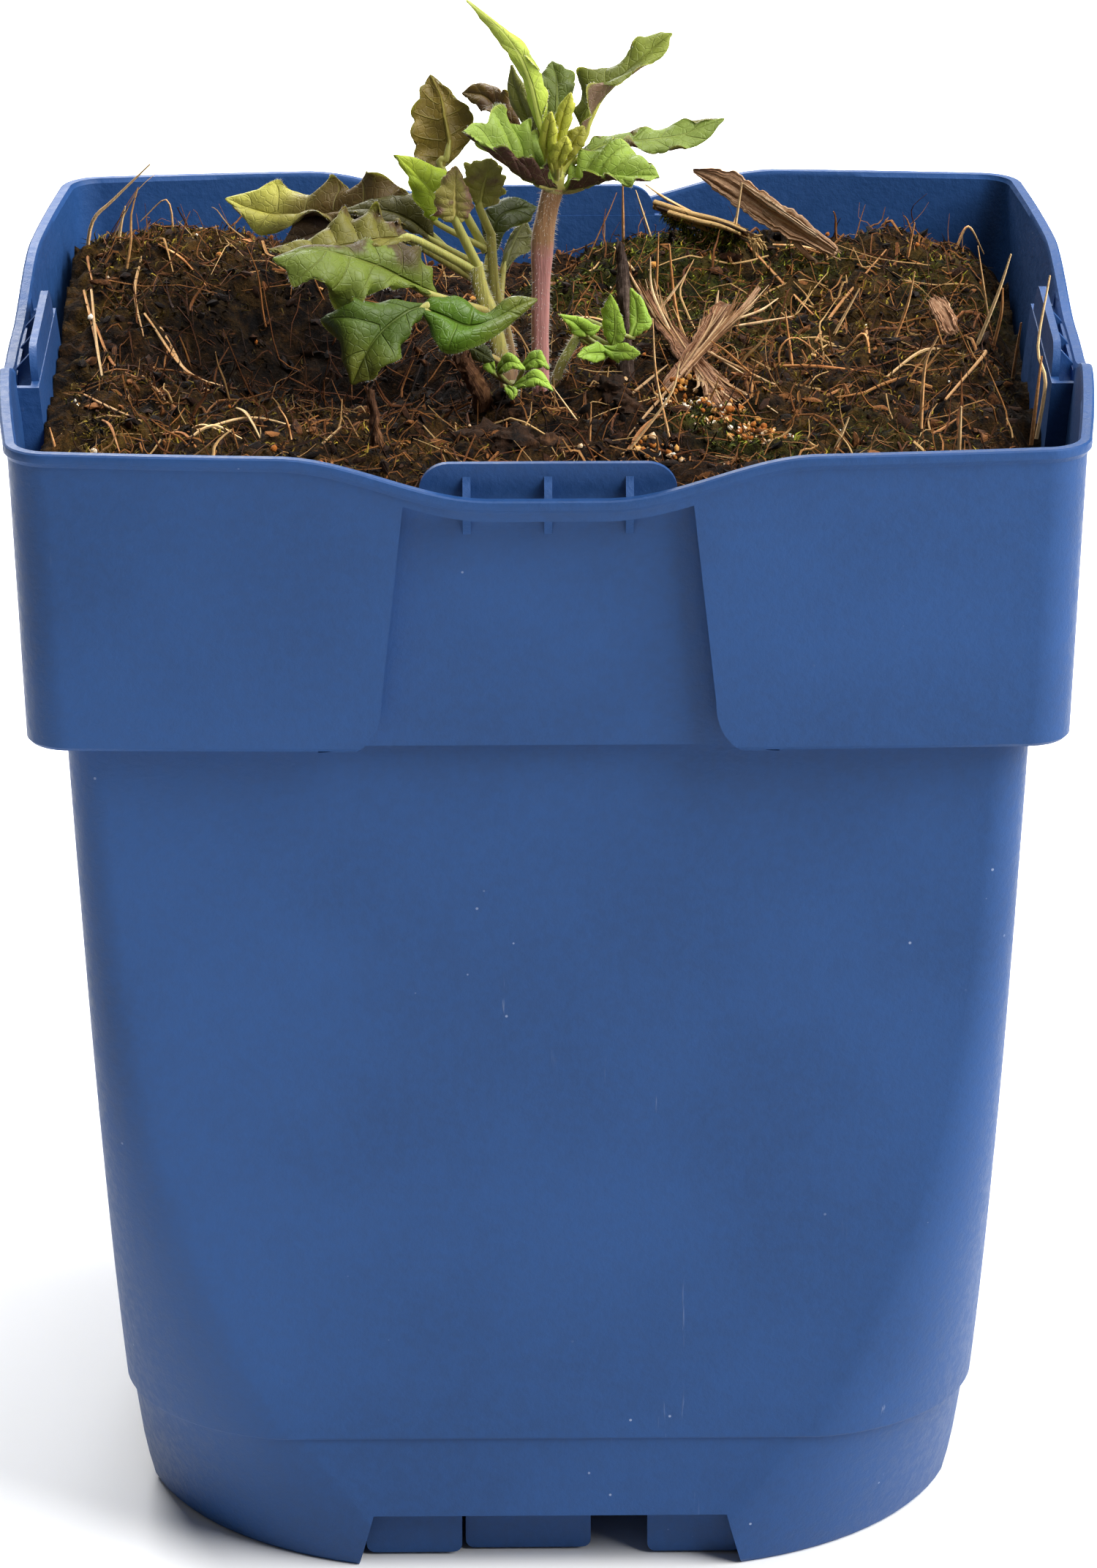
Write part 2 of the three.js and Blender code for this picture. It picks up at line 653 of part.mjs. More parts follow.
const MAIN_SHOOT = {
  stems: [
    {
      path: [[-0.9, -6.6, 112], [-0.8, -6.3, 119], [-0.5, -6, 130], [-0.2, -6, 138], [0.6, -6, 144]],
      radii: [1.15, 1.1, 1.05, 1.0, 1.1],
    },
    { path: [[0.6, -6, 143.4], [0.5, -6.2, 146], [0.6, -6.4, 147.6]], radii: [1.1, 1.0, 0.6], steps: 3 },
  ],
  leaves: [
    // low pair, left front and right front
    { root: [0.5, -6.2, 143.4], base: [-0.9, -7.6, 143.9], tip: [-8.6, -12, 150.4], face: [0.5, -0.25, 0.8],
      width: 8.4, fold: 0.8, bend: -0.2 },
    { root: [0.7, -6.2, 143.6], base: [1.9, -8, 144], tip: [9.6, -15.6, 146.6], face: [-0.3, -0.3, 0.9],
      width: 8.6, fold: 0.35, bend: 0.7 },
    // right, and right behind
    { root: [0.8, -6, 144], base: [3.4, -5.4, 144.6], tip: [19.2, -1.6, 149], face: [-0.15, -0.4, 0.9],
      width: 7, fold: 0.3, bend: -0.6, roll: 0.3 },
    { root: [0.8, -5.8, 144], base: [2.6, -3.4, 144.8], tip: [12.8, 5.6, 142.4], face: [0.1, -0.25, 0.95],
      width: 6.4, fold: 0.35, bend: 1.1 },
    // narrow young leaf that stands tallest, and its partner that leans right
    { root: [0.5, -6.2, 145.4], base: [0.2, -7.1, 147.6], tip: [-8, -10, 164.3], face: [0.75, -0.6, 0.2],
      width: 5.6, fold: 0.75, bend: -0.5, stalk: 0.5 },
    { root: [0.8, -6, 145], base: [2.6, -5.3, 147.4], tip: [13.6, -2.2, 158.8], face: [-0.6, -0.4, 0.65],
      width: 6.4, fold: 0.45, bend: -1.1, roll: -0.3, stalk: 0.5 },
    // dark leaves behind
    { root: [0.6, -5.8, 145], base: [0.9, -3.7, 147], tip: [0.4, 1.6, 154.6], face: [0, -0.8, 0.5],
      width: 6.4, fold: 0.35, bend: 0.5 },
    { root: [0.4, -5.8, 144.8], base: [-1.2, -3.2, 146.8], tip: [-8.6, 4.4, 151], face: [0.3, 0.2, 0.9],
      width: 6.6, fold: 0.4, bend: 0.6 },
    // youngest leaves, still folded round the bud
    { root: [0.6, -6.3, 146], base: [0.9, -7.2, 147.4], tip: [2.6, -9, 154.2], face: [-0.2, 0.95, 0.2],
      width: 3.2, fold: 0.7, bend: -0.3 },
    { root: [0.5, -6.3, 145.6], base: [-0.3, -7.6, 147], tip: [-0.2, -9.8, 151.6], face: [0.1, 0.9, 0.3],
      width: 2.8, fold: 0.6, bend: -0.2 },
    { root: [0.8, -6.2, 145.6], base: [1.9, -7, 146.8], tip: [4.7, -7.6, 149.6], face: [-0.6, 0.3, 0.7],
      width: 2.8, fold: 0.5, bend: -0.2 },
  ],
};

const LEFT_SHOOT_FRONT = {
  stems: [
    {
      path: [[-3.8, -4.6, 112], [-3.9, -4.8, 120], [-5, -6, 127.4], [-6.2, -6.6, 131.4], [-7.1, -7, 135]],
      radii: [0.95, 0.95, 0.9, 0.85, 0.75],
    },
    { path: [[-4.4, -5.4, 124.6], [-8.8, -11, 127], [-13.8, -15.6, 130]], radii: [0.6, 0.5, 0.5],
      sides: 5, steps: 4 },
  ],
  leaves: [
    // small scalloped leaf at the fork
    { root: [-7, -7, 134.6], base: [-8.5, -7.7, 139.4], tip: [-9.5, -8.4, 146], face: [0.1, -0.9, 0.35],
      width: 5.6, fold: 0.25, bend: 0.3, stalk: 0.6 },
    // the two long leaves that hang to the left, one above the other
    { root: [-6.9, -6.9, 134.2], base: [-13.4, -9.4, 138.9], tip: [-28.8, -14.8, 138.4],
      face: [-0.05, -0.4, 0.9], width: 10.5, fold: -0.45, bend: 0.7, stalk: 0.55 },
    { root: [-5, -6, 128], base: [-11.4, -10.8, 134], tip: [-26.8, -18.6, 136.4],
      face: [0.05, -0.75, 0.65], width: 8.6, fold: -0.2, bend: 1.4, stalk: 0.55 },
    // the pair on the low branch: a dark lobed leaf to the left, a glossy one to the right
    { root: [-13.6, -15.4, 129.8], base: [-14.8, -16.3, 130.6], tip: [-21.6, -22.2, 126.2],
      face: [-0.3, -0.5, 0.8], width: 12.5, fold: -0.15, bend: 1.3, stalk: 0.5 },
    { root: [-13.6, -15.4, 129.8], base: [-12.6, -16, 130.4], tip: [-1.2, -14.4, 133.3],
      face: [0, -0.6, 0.8], width: 7.6, fold: 0.2, bend: -1.2, stalk: 0.5 },
  ],
};

const LEFT_SHOOT_BACK = {
  stems: [
    {
      path: [[-4.4, -0.9, 112], [-4.6, -1.2, 120], [-5.6, -1.9, 130], [-6.8, -2, 136], [-7, -2, 141]],
      radii: [0.75, 0.7, 0.65, 0.6, 0.55],
      sides: 7,
    },
  ],
  leaves: [
    // small leaf at the top, light leaf to its left
    { root: [-7, -2, 140.4], base: [-6.7, -2.6, 141.9], tip: [-5.6, -4.6, 146.8], face: [0.1, -0.8, 0.5],
      width: 4.6, fold: 0.3, bend: 0.3, stalk: 0.4 },
    { root: [-7, -2, 138.6], base: [-9.9, -3, 141.2], tip: [-15.8, -5.4, 147], face: [0.5, -0.5, 0.7],
      width: 6.6, fold: 0.35, bend: 0.3, stalk: 0.4 },
    // brown-green leaf that stands upright behind
    { root: [-6.6, -1.9, 134.8], base: [-9.4, 2, 140.6], tip: [-12.1, 5, 152.8], face: [0.25, 0.9, 0.2],
      width: 8.4, fold: 0.3, bend: -0.6, stalk: 0.5 },
    // the long leaf that reaches farthest left, and the purple one under it
    { root: [-5.4, -1.8, 128.6], base: [-14.4, 3.4, 136], tip: [-34.4, 7.6, 137.6], face: [-0.05, -0.2, 0.95],
      width: 9.6, fold: 0.25, bend: 0.5, roll: -0.3, stalk: 0.5 },
    { root: [-5.5, -1.8, 129.8], base: [-15.4, 7.6, 133.6], tip: [-28.4, 9, 133.4], face: [-0.05, -0.4, 0.95],
      width: 7.6, fold: 0.25, bend: 0.9, stalk: 0.45 },
    // two leaves behind the main stem
    { root: [-5.5, -1.7, 129.6], base: [-5.6, 2.2, 134.4], tip: [-0.8, 6.6, 138.6], face: [-0.3, -0.6, 0.75],
      width: 6.4, fold: 0.3, bend: 0.4, stalk: 0.45 },
    { root: [-5.2, -1.5, 127.4], base: [-2.6, 4.6, 131.2], tip: [1, 8.4, 134.6], face: [-0.2, -0.5, 0.85],
      width: 4.6, fold: 0.35, bend: 0.4, stalk: 0.4 },
  ],
};

const CROWN_SHOOT = {
  stems: [
    {
      path: [[-3.4, -9.4, 112], [-3.4, -9.8, 119], [-3.3, -10.4, 123]],
      radii: [0.7, 0.65, 0.55],
      sides: 6,
      steps: 4,
    },
  ],
  leaves: [
    { root: [-3.3, -10.2, 122.2], base: [-4.2, -12.4, 124.4], tip: [-6.8, -15, 126.6], face: [0.3, -0.5, 0.8],
      width: 4, fold: 0.2, bend: 0.3, stalk: 0.35 },
    { root: [-3.3, -10.2, 122.4], base: [-2.5, -12.2, 124.8], tip: [0.7, -14.2, 126.8],
      face: [-0.3, -0.5, 0.8], width: 3.8, fold: 0.2, bend: 0.4, stalk: 0.35 },
    { root: [-3.3, -10.2, 121.8], base: [-2.3, -13.4, 123.2], tip: [1.2, -17.6, 124.6],
      face: [-0.2, -0.4, 0.9], width: 4, fold: 0.2, bend: 0.5, stalk: 0.35 },
  ],
};

const RIGHT_SHOOT = {
  stems: [
    {
      path: [[1.9, -3.1, 112], [1.8, -3.2, 120], [2.5, -3, 124.4], [3.9, -2.2, 126.6], [4.8, -1.8, 128]],
      radii: [0.6, 0.55, 0.5, 0.5, 0.4],
      sides: 6,
      steps: 6,
    },
  ],
  leaves: [
    { root: [3.9, -2.2, 126.4], base: [4.2, -4.6, 127.6], tip: [1.9, -7.6, 129.8], face: [-0.1, -0.6, 0.8],
      width: 4, fold: 0.2, bend: 0.4, stalk: 0.35 },
    { root: [3.4, -2.5, 125.6], base: [4.6, -5.2, 125.4], tip: [3.1, -10.6, 125.2], face: [-0.1, -0.4, 0.9],
      width: 3.8, fold: 0.2, bend: 0.5, stalk: 0.35 },
    { root: [3.6, -2.4, 125.8], base: [6, -4.6, 125.4], tip: [10.8, -8.6, 125.8], face: [-0.1, -0.5, 0.9],
      width: 4, fold: 0.2, bend: 0.5, stalk: 0.35 },
    { root: [4.6, -1.9, 127.6], base: [5.2, -1, 129], tip: [6.1, 1.2, 132], face: [-0.2, -0.8, 0.5],
      width: 3.4, fold: 0.2, bend: 0.3, stalk: 0.35 },
    { root: [4.4, -2, 127], base: [8.8, -0.8, 127.6], tip: [10.6, 0.8, 132.6], face: [0.1, -0.85, 0.4],
      width: 4.2, fold: 0.2, bend: 0.4, stalk: 0.35 },
    { root: [4, -2.2, 126.6], base: [5.9, -3.8, 127], tip: [8.8, -6, 129.2], face: [-0.3, -0.5, 0.8],
      width: 3, fold: 0.2, bend: 0.3, stalk: 0.35 },
  ],
};

// Old stem ends, each a rough rod that stands in its own hole
const STUBS = {
  stub_dark: {
    path: [[8.8, 2.8, 114], [8.7, 2.9, 121], [8.5, 3.1, 128], [8.1, 3.6, 133.4]],
    radii: [1.0, 1.0, 0.8, 0.5],
    sides: 6,
    steps: 7,
  },
  stub_left: {
    path: [[-7.6, -11.2, 115], [-7.9, -11.8, 121], [-9, -12.8, 124.4], [-10, -13.6, 126.2]],
    radii: [1.1, 1.1, 1.0, 0.7],
    sides: 6,
    steps: 6,
  },
  stub_far_left: {
    path: [[-17.2, -27.5, 115], [-17.3, -28, 121], [-17.5, -28.6, 125.8]],
    radii: [0.75, 0.7, 0.5],
    sides: 5,
    steps: 5,
  },
};

// Bark and sticks that lie on the soil

// A splinter: a flat, tapering piece along a curve, rough along its edges
function splinter({ path, width, thickness, lean = 0, steps = 6, seed = SEED }) {
  const curve = curveThrough(path);
  const draw = seededDraw(seed);
  const rings = [];
  for (let step = 0; step <= steps; step += 1) {
    const share = step / steps;
    const along = curve.getTangentAt(share);
    const across = new THREE.Vector3(0, 0, 1).cross(along).normalize().applyAxisAngle(along, lean);
    const lift = new THREE.Vector3().crossVectors(along, across);
    const half = (width / 2) * (0.35 + 0.65 * sin(PI * blend(0.12, 0.85, share))) * blend(0.8, 1.15, draw());
    const centre = curve.getPointAt(share);
    const corner = (side, height) => centre.clone()
      .addScaledVector(across, side * half)
      .addScaledVector(lift, (height * thickness) / 2);
    const rim = [[1, -0.7], [1, 0.8], [0, 1.1], [-1, 0.7], [-1, -0.8], [0, -1]];
    rings.push(rim.map(([side, height]) => corner(side, height)));
  }
  return loft(rings);
}

const BARK_STRIP = {
  path: [[34.4, 28.6, 124.8], [29.4, 36, 126.4], [24, 44, 128.2], [17.4, 51.4, 130.2]],
  width: 4.2,
  thickness: 1.1,
  lean: 0.5,
  seed: SEED + 2,
};

const MOSSY_STICK = {
  path: [[25.6, 31.4, 125.1], [20.4, 38.4, 125.9], [14, 46.4, 126.6]],
  radii: [0.7, 1.1, 0.9, 0.6],
  sides: 6,
  steps: 6,
};

const BARK_CHIP = {
  path: [[42, 6, 122.5], [44, 9.5, 122.9], [45, 13, 122.8]],
  width: 4,
  thickness: 1.6,
  steps: 4,
  seed: SEED + 4,
};

// Slivers that spread from one thick end, as bark does when it frays
function barkBunch() {
  const heel = [11.5, -15, 122.1];
  const draw = seededDraw(SEED + 6);
  const slivers = [-0.38, -0.22, -0.08, 0.06, 0.2, 0.36].map((spread, index) => {
    const length = blend(16, 25, draw());
    const heading = PI / 2 - 0.5 + spread;
    const rise = blend(2.6, 5.6, draw());
    const start = [heel[0] + spread * 3, heel[1] + 0.6 * index, heel[2] + 0.2 * index];
    const end = [start[0] + length * cos(heading), start[1] + length * sin(heading), start[2] + rise];
    const middle = start.map((value, axis) => blend(value, end[axis], 0.5) + (axis === 2 ? 0.7 : 0));
    const path = [start, middle, end];
    return splinter({ path, width: 2.4, thickness: 1.3, lean: spread, steps: 4, seed: SEED + index });
  });
  const knot = curveThrough([[9.5, -17, 122], [12.5, -13, 122.6], [14, -9, 122.8]]);
  return joined([rod(knot, [1.1, 1.7, 0.9], 6, 4), ...slivers]);
}

// Assembly

// The plain hole that a stem stands in, straight through the stem's two lowest points
function socket({ path, radii }) {
  const [foot, collar] = path.slice(0, 2).map(point);
  const upward = collar.clone().sub(foot).normalize();
  const top = foot.clone().addScaledVector(upward, (HOLE_TOP - foot.z) / upward.z);
  const bore = new THREE.LineCurve3(foot.addScaledVector(upward, -FIT_GAP), top);
  const radius = radii[0] + HOLE_CLEARANCE;
  return rod(bore, [radius, radius], 8, 1);
}

const SHOOTS = {
  main_shoot: MAIN_SHOOT,
  left_shoot_front: LEFT_SHOOT_FRONT,
  left_shoot_back: LEFT_SHOOT_BACK,
  crown_shoot: CROWN_SHOOT,
  right_shoot: RIGHT_SHOOT,
};

const FINISHES = {
  pot: { color: 0x42608f, roughness: 0.45, metalness: 0 },
  soil: { color: 0x3a2a1d, roughness: 1, metalness: 0 },
  main_shoot: { color: 0x86a542, roughness: 0.7, metalness: 0 },
  left_shoot_front: { color: 0x6f8d45, roughness: 0.7, metalness: 0 },
  left_shoot_back: { color: 0x5f7438, roughness: 0.75, metalness: 0 },
  crown_shoot: { color: 0x4f8a3c, roughness: 0.7, metalness: 0 },
  right_shoot: { color: 0x56853c, roughness: 0.7, metalness: 0 },
  stub_dark: { color: 0x3b302b, roughness: 0.95, metalness: 0 },
  stub_left: { color: 0x5b3a26, roughness: 0.95, metalness: 0 },
  stub_far_left: { color: 0x62422e, roughness: 0.95, metalness: 0 },
  bark_strip: { color: 0x9a6a4a, roughness: 0.95, metalness: 0 },
  mossy_stick: { color: 0x7a6a2e, roughness: 1, metalness: 0 },
  bark_bunch: { color: 0x8a5f40, roughness: 0.95, metalness: 0 },
  bark_chip: { color: 0x7d4f35, roughness: 0.95, metalness: 0 },
};

function node(name, solid) {
  const mesh = new THREE.Mesh(toGeometry(solid), new THREE.MeshStandardMaterial(FINISHES[name]));
  mesh.name = name;
  return mesh;
}

const plant = new THREE.Group();
const litter = new THREE.Group();
const whole = new THREE.Group();

const holes = [];
for (const [name, parts] of Object.entries(SHOOTS)) {
  plant.add(node(name, shoot(parts)));
  holes.push(socket(parts.stems[0]));
}
for (const [name, stub] of Object.entries(STUBS)) {
  plant.add(node(name, stem(stub)));
  holes.push(socket(stub));
}
litter.add(node("bark_strip", splinter(BARK_STRIP)));
litter.add(node("mossy_stick", stem(MOSSY_STICK)));
litter.add(node("bark_bunch", barkBunch()));
litter.add(node("bark_chip", splinter(BARK_CHIP)));

whole.add(node("pot", buildPot()));
whole.add(node("soil", buildSoil(holes)));
whole.add(plant);
whole.add(litter);

export default whole;
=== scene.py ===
"""A young fleur giant hyssop in its square garden pot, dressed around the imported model.

Pieces are modelled in millimetres and turned into metres when they are finished. The front of the pot
faces -Y and the ground is at z = 0.
"""

from __future__ import annotations

import logging
from dataclasses import dataclass
from enum import Enum
from math import cos, dist, exp, hypot, pi, radians, sin, sqrt
from random import Random
from typing import Callable, Sequence

import bmesh
import bpy
from mathutils import Matrix, Vector, noise

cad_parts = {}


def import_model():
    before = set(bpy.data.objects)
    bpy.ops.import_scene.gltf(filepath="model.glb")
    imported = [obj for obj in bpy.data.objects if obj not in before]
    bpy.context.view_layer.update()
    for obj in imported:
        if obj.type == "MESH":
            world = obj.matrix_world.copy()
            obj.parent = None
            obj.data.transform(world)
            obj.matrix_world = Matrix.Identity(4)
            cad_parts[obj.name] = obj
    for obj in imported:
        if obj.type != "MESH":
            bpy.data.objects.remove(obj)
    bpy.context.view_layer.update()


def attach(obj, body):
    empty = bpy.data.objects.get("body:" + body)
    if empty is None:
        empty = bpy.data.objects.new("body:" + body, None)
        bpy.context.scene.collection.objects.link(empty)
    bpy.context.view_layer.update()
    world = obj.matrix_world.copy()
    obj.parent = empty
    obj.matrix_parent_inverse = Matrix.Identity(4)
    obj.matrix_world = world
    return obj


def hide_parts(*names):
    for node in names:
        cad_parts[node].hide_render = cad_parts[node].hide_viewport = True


Pair = tuple[float, float]
Point = tuple[float, float, float]
Colour = tuple[float, float, float]
Mesh = bmesh.types.BMesh
Material = bpy.types.Material
Socket = bpy.types.NodeSocket

MM = 0.001
LOG = logging.getLogger("hyssop")


# Finishes


def paint(code: str) -> Colour:
    """Turns a six-digit sRGB code into linear colour.

    Args:
        code: Two hexadecimal digits each for red, green and blue.

    Returns:
        The linear colour.
    """
    shares = (int(code[i : i + 2], 16) / 255 for i in (0, 2, 4))
    return tuple(s / 12.92 if s <= 0.04045 else ((s + 0.055) / 1.055) ** 2.4 for s in shares)


def shaded(colour: Colour, share: float) -> Colour:
    """A colour made darker or lighter by a factor."""
    return tuple(min(c * share, 1.0) for c in colour)


class Bench:
    """The bench on which one material's nodes are laid out and wired."""

    def __init__(self, name: str) -> None:
        """Starts a material with a bare Principled shader.

        Args:
            name: The material's name.
        """
        self.material = bpy.data.materials.new(name)
        self.material.use_nodes = True
        self.tree = self.material.node_tree
        self.shader = self.tree.nodes["Principled BSDF"]
        self.object_place = self.add("ShaderNodeTexCoord").outputs["Object"]

    def add(self, kind: str, **settings: object) -> bpy.types.Node:
        """Adds a node with its settings.

        Args:
            kind: The node type.
            settings: The properties it is given.

        Returns:
            The node.
        """
        node = self.tree.nodes.new(kind)
        for key, value in settings.items():
            setattr(node, key, value)
        return node

    def wire(self, socket: Socket, source: object) -> None:
        """Links a source socket to an input, or sets the input to a plain value.

        Args:
            socket: The input.
            source: A source socket, or the value to set.
        """
        if isinstance(source, Socket):
            self.tree.links.new(source, socket)
        elif isinstance(source, tuple) and len(source) == 3 and socket.type == "RGBA":
            socket.default_value = (*source, 1.0)
        else:
            socket.default_value = source

    def set(self, **values: object) -> None:
        """Sets the shader's own sockets, named in lower case with underscores.

        Args:
            values: What each socket is set to or linked with.
        """
        names = {socket.name.lower().replace(" ", "_"): socket for socket in self.shader.inputs}
        for key, value in values.items():
            self.wire(names[key], value)

    def stretched(self, scale: Point) -> Socket:
        """Object coordinates stretched along their axes.

        Args:
            scale: The factor of each axis.

        Returns:
            The stretched coordinates.
        """
        node = self.add("ShaderNodeMapping")
        self.wire(node.inputs["Vector"], self.object_place)
        node.inputs["Scale"].default_value = scale
        return node.outputs["Vector"]

    def grain(
        self, scale: float, detail: float = 3.0, rough: float = 0.55, place: Socket | None = None
    ) -> Socket:
        """A noise value from 0 to 1, with its scale in cycles a metre.

        Args:
            scale: How many of its cycles lie on a metre.
            detail: How many finer levels are added.
            rough: How strong the finer levels are.
            place: The coordinates to use in place of the plain ones.

        Returns:
            The noise.
        """
        node = self.add("ShaderNodeTexNoise")
        self.wire(node.inputs["Vector"], place or self.object_place)
        node.inputs["Scale"].default_value = scale
        node.inputs["Detail"].default_value = detail
        node.inputs["Roughness"].default_value = rough
        return node.outputs["Fac"]

    def cells(self, scale: float, feature: str = "F1") -> Socket:
        """The distance inside cells, or to their edges, with the scale in cells a metre.

        Args:
            scale: How many of its cycles lie on a metre.
            feature: What is measured in the cells.

        Returns:
            The distance.
        """
        node = self.add("ShaderNodeTexVoronoi", feature=feature)
        self.wire(node.inputs["Vector"], self.object_place)
        node.inputs["Scale"].default_value = scale
        return node.outputs["Distance"]

    def layer(self, name: str) -> Socket:
        """The value of one of the piece's own point layers."""
        return self.add("ShaderNodeAttribute", attribute_name=name).outputs["Fac"]

    def sum(self, how: str, first: object, second: object = 0.0) -> Socket:
        """One arithmetic step.

        Args:
            how: The operation.
            first: The first value or socket.
            second: The second value or socket.

        Returns:
            The result.
        """
        node = self.add("ShaderNodeMath", operation=how)
        self.wire(node.inputs[0], first)
        self.wire(node.inputs[1], second)
        return node.outputs[0]

    def times(self, first: object, second: object) -> Socket:
        """One value multiplied by another."""
        return self.sum("MULTIPLY", first, second)

    def plus(self, first: object, second: object) -> Socket:
        """One value added to another."""
        return self.sum("ADD", first, second)

    def span(self, value: object, low: float, high: float, to: Sequence[float] = (0.0, 1.0)) -> Socket:
        """Maps a value from one span to another with a soft start and end.

        Args:
            value: The value or socket that is mapped.
            low: Where the span starts.
            high: Where the span ends.
            to: The two values that the span is mapped to.

        Returns:
            The mapped value.
        """
        node = self.add("ShaderNodeMapRange", interpolation_type="SMOOTHSTEP")
        self.wire(node.inputs["Value"], value)
        node.inputs["From Min"].default_value = low
        node.inputs["From Max"].default_value = high
        node.inputs["To Min"].default_value = to[0]
        node.inputs["To Max"].default_value = to[1]
        return node.outputs["Result"]

    def mix(self, share: object, under: object, over: object) -> Socket:
        """One colour laid over another by a share.

        Args:
            share: How much of the upper colour shows.
            under: The lower colour.
            over: The upper colour.

        Returns:
            The mixed colour.
        """
        node = self.add("ShaderNodeMix", data_type="RGBA")
        self.wire(node.inputs[0], share)
        self.wire(node.inputs[6], under)
        self.wire(node.inputs[7], over)
        return node.outputs[2]

    def ramp(self, value: object, *stops: tuple[float, Colour]) -> Socket:
        """A colour read from a ramp of stops.

        Args:
            value: The place on the ramp.
            stops: The places and colours of its stops.

        Returns:
            The colour.
        """
        node = self.add("ShaderNodeValToRGB")
        self.wire(node.inputs["Fac"], value)
        band = node.color_ramp.elements
        while len(band) < len(stops):
            band.new(0.5)
        for mark, (place, colour) in zip(band, stops):
            mark.position = place
            mark.color = (*colour, 1.0)
        return node.outputs["Color"]

    def bump(
        self, height: object, distance: float, strength: float = 1.0, over: Socket | None = None
    ) -> Socket:
        """Relief from a height, with the distance in metres, laid over an earlier relief.

        Args:
            height: The height.
            distance: The depth of the relief in metres.
            strength: How much of it shows.
            over: An earlier relief.

        Returns:
            The relief as a normal.
        """
        node = self.add("ShaderNodeBump")
        self.wire(node.inputs["Height"], height)
        node.inputs["Distance"].default_value = distance
        node.inputs["Strength"].default_value = strength
        if over is not None:
            self.wire(node.inputs["Normal"], over)
        return node.outputs["Normal"]


@dataclass(frozen=True)
class PotPlastic:
    """Matte blue plastic with a spark-eroded grain, pale dust and a few scuffs."""

    body: str = "224577"
    dust: str = "8795b4"

    def material(self) -> Material:
        """Lays out the plastic.

        Returns:
            The material.
        """
        bench = Bench("pot_plastic")
        blue = paint(self.body)
        clouds = bench.span(bench.grain(38, 4), 0.3, 0.7)
        mottle = bench.span(bench.grain(900, 3), 0.32, 0.68)
        colour = bench.mix(clouds, shaded(blue, 0.9), shaded(blue, 1.1))
        colour = bench.mix(bench.times(mottle, 0.22), colour, shaded(blue, 1.45))
        specks = bench.span(bench.cells(420), 0.075, 0.045)
        sparse = bench.span(bench.grain(60, 2), 0.58, 0.66)
        colour = bench.mix(bench.times(specks, sparse), colour, paint(self.dust))
        scratch = bench.grain(1.0, 5, 0.6, bench.stretched((900, 900, 46)))
        scuffed = bench.times(bench.span(scratch, 0.66, 0.74), bench.span(bench.grain(30, 2), 0.55, 0.7))
        colour = bench.mix(bench.times(scuffed, 0.45), colour, paint(self.dust))
        bench.set(base_color=colour, roughness=bench.span(mottle, 0, 1, (0.44, 0.54)))
        grain = bench.plus(bench.grain(1500, 4, 0.7), bench.times(scuffed, 0.6))
        bench.set(normal=bench.bump(grain, 0.00022, 0.35), specular_ior_level=0.25)
        return bench.material


@dataclass(frozen=True)
class Peat:
    """Dark fibrous peat, ochre or olive where moss grows, with painted shade that turns it near black in its
    hollow, its pits and along the right wall.
    """

    black: str = "060302"
    brown: str = "2b1a0c"
    rust: str = "6b4421"
    fibre: str = "93643a"
    ochre: str = "5f4818"
    olive: str = "3e4611"

    def material(self) -> Material:
        """Lays out the peat, which reads the layers Moss, Ochre and the one that holds the painted shade.

        Returns:
            The material.
        """
        bench = Bench("peat")
        coarse = bench.grain(420, 6, 0.7)
        fine = bench.grain(2200, 4, 0.7)
        tone = bench.plus(bench.times(coarse, 0.6), bench.times(fine, 0.4))
        black, brown, rust = paint(self.black), paint(self.brown), paint(self.rust)
        colour = bench.ramp(tone, (0.42, black), (0.53, brown), (0.66, rust))
        thread = bench.grain(1.0, 5, 0.6, bench.stretched((600, 2600, 900)))
        colour = bench.mix(bench.span(thread, 0.62, 0.7, (0.0, 0.7)), colour, paint(self.fibre))
        ochre = bench.times(bench.layer("Ochre"), bench.span(coarse, 0.4, 0.6))
        colour = bench.mix(ochre, colour, paint(self.ochre))
        olive = bench.times(bench.layer("Moss"), bench.span(fine, 0.34, 0.6))
        colour = bench.mix(olive, colour, paint(self.olive))
        # Painted shade: the peat is blackened in the hollow, in the pits and along the right wall.
        colour = bench.mix(bench.times(bench.layer("Hollow"), 0.88), colour, black)
        bench.set(base_color=colour, roughness=0.95, specular_ior_level=0.15)
        relief = bench.bump(coarse, 0.0016, 1.0)
        bench.set(normal=bench.bump(fine, 0.0008, 1.0, relief))
        return bench.material


@dataclass(frozen=True)
class Crumb:
    """A crumb, chip or grain, whose tone runs from dark to light by its own layer."""

    name: str
    dark: str
    middle: str
    light: str
    roughness: float = 0.9

    def material(self) -> Material:
        """Lays out the finish, which reads the layer Tone.

        Returns:
            The material.
        """
        bench = Bench(self.name)
        worn = bench.times(bench.sum("SUBTRACT", bench.grain(1900, 4, 0.7), 0.5), 0.9)
        tone = bench.plus(bench.layer("Tone"), worn)
        dark, middle, light = paint(self.dark), paint(self.middle), paint(self.light)
        colour = bench.ramp(tone, (0.1, dark), (0.5, middle), (0.92, light))
        bench.set(base_color=colour, roughness=self.roughness, specular_ior_level=0.25)
        bench.set(normal=bench.bump(bench.grain(4200, 4, 0.7), 0.0003, 0.7))
        return bench.material


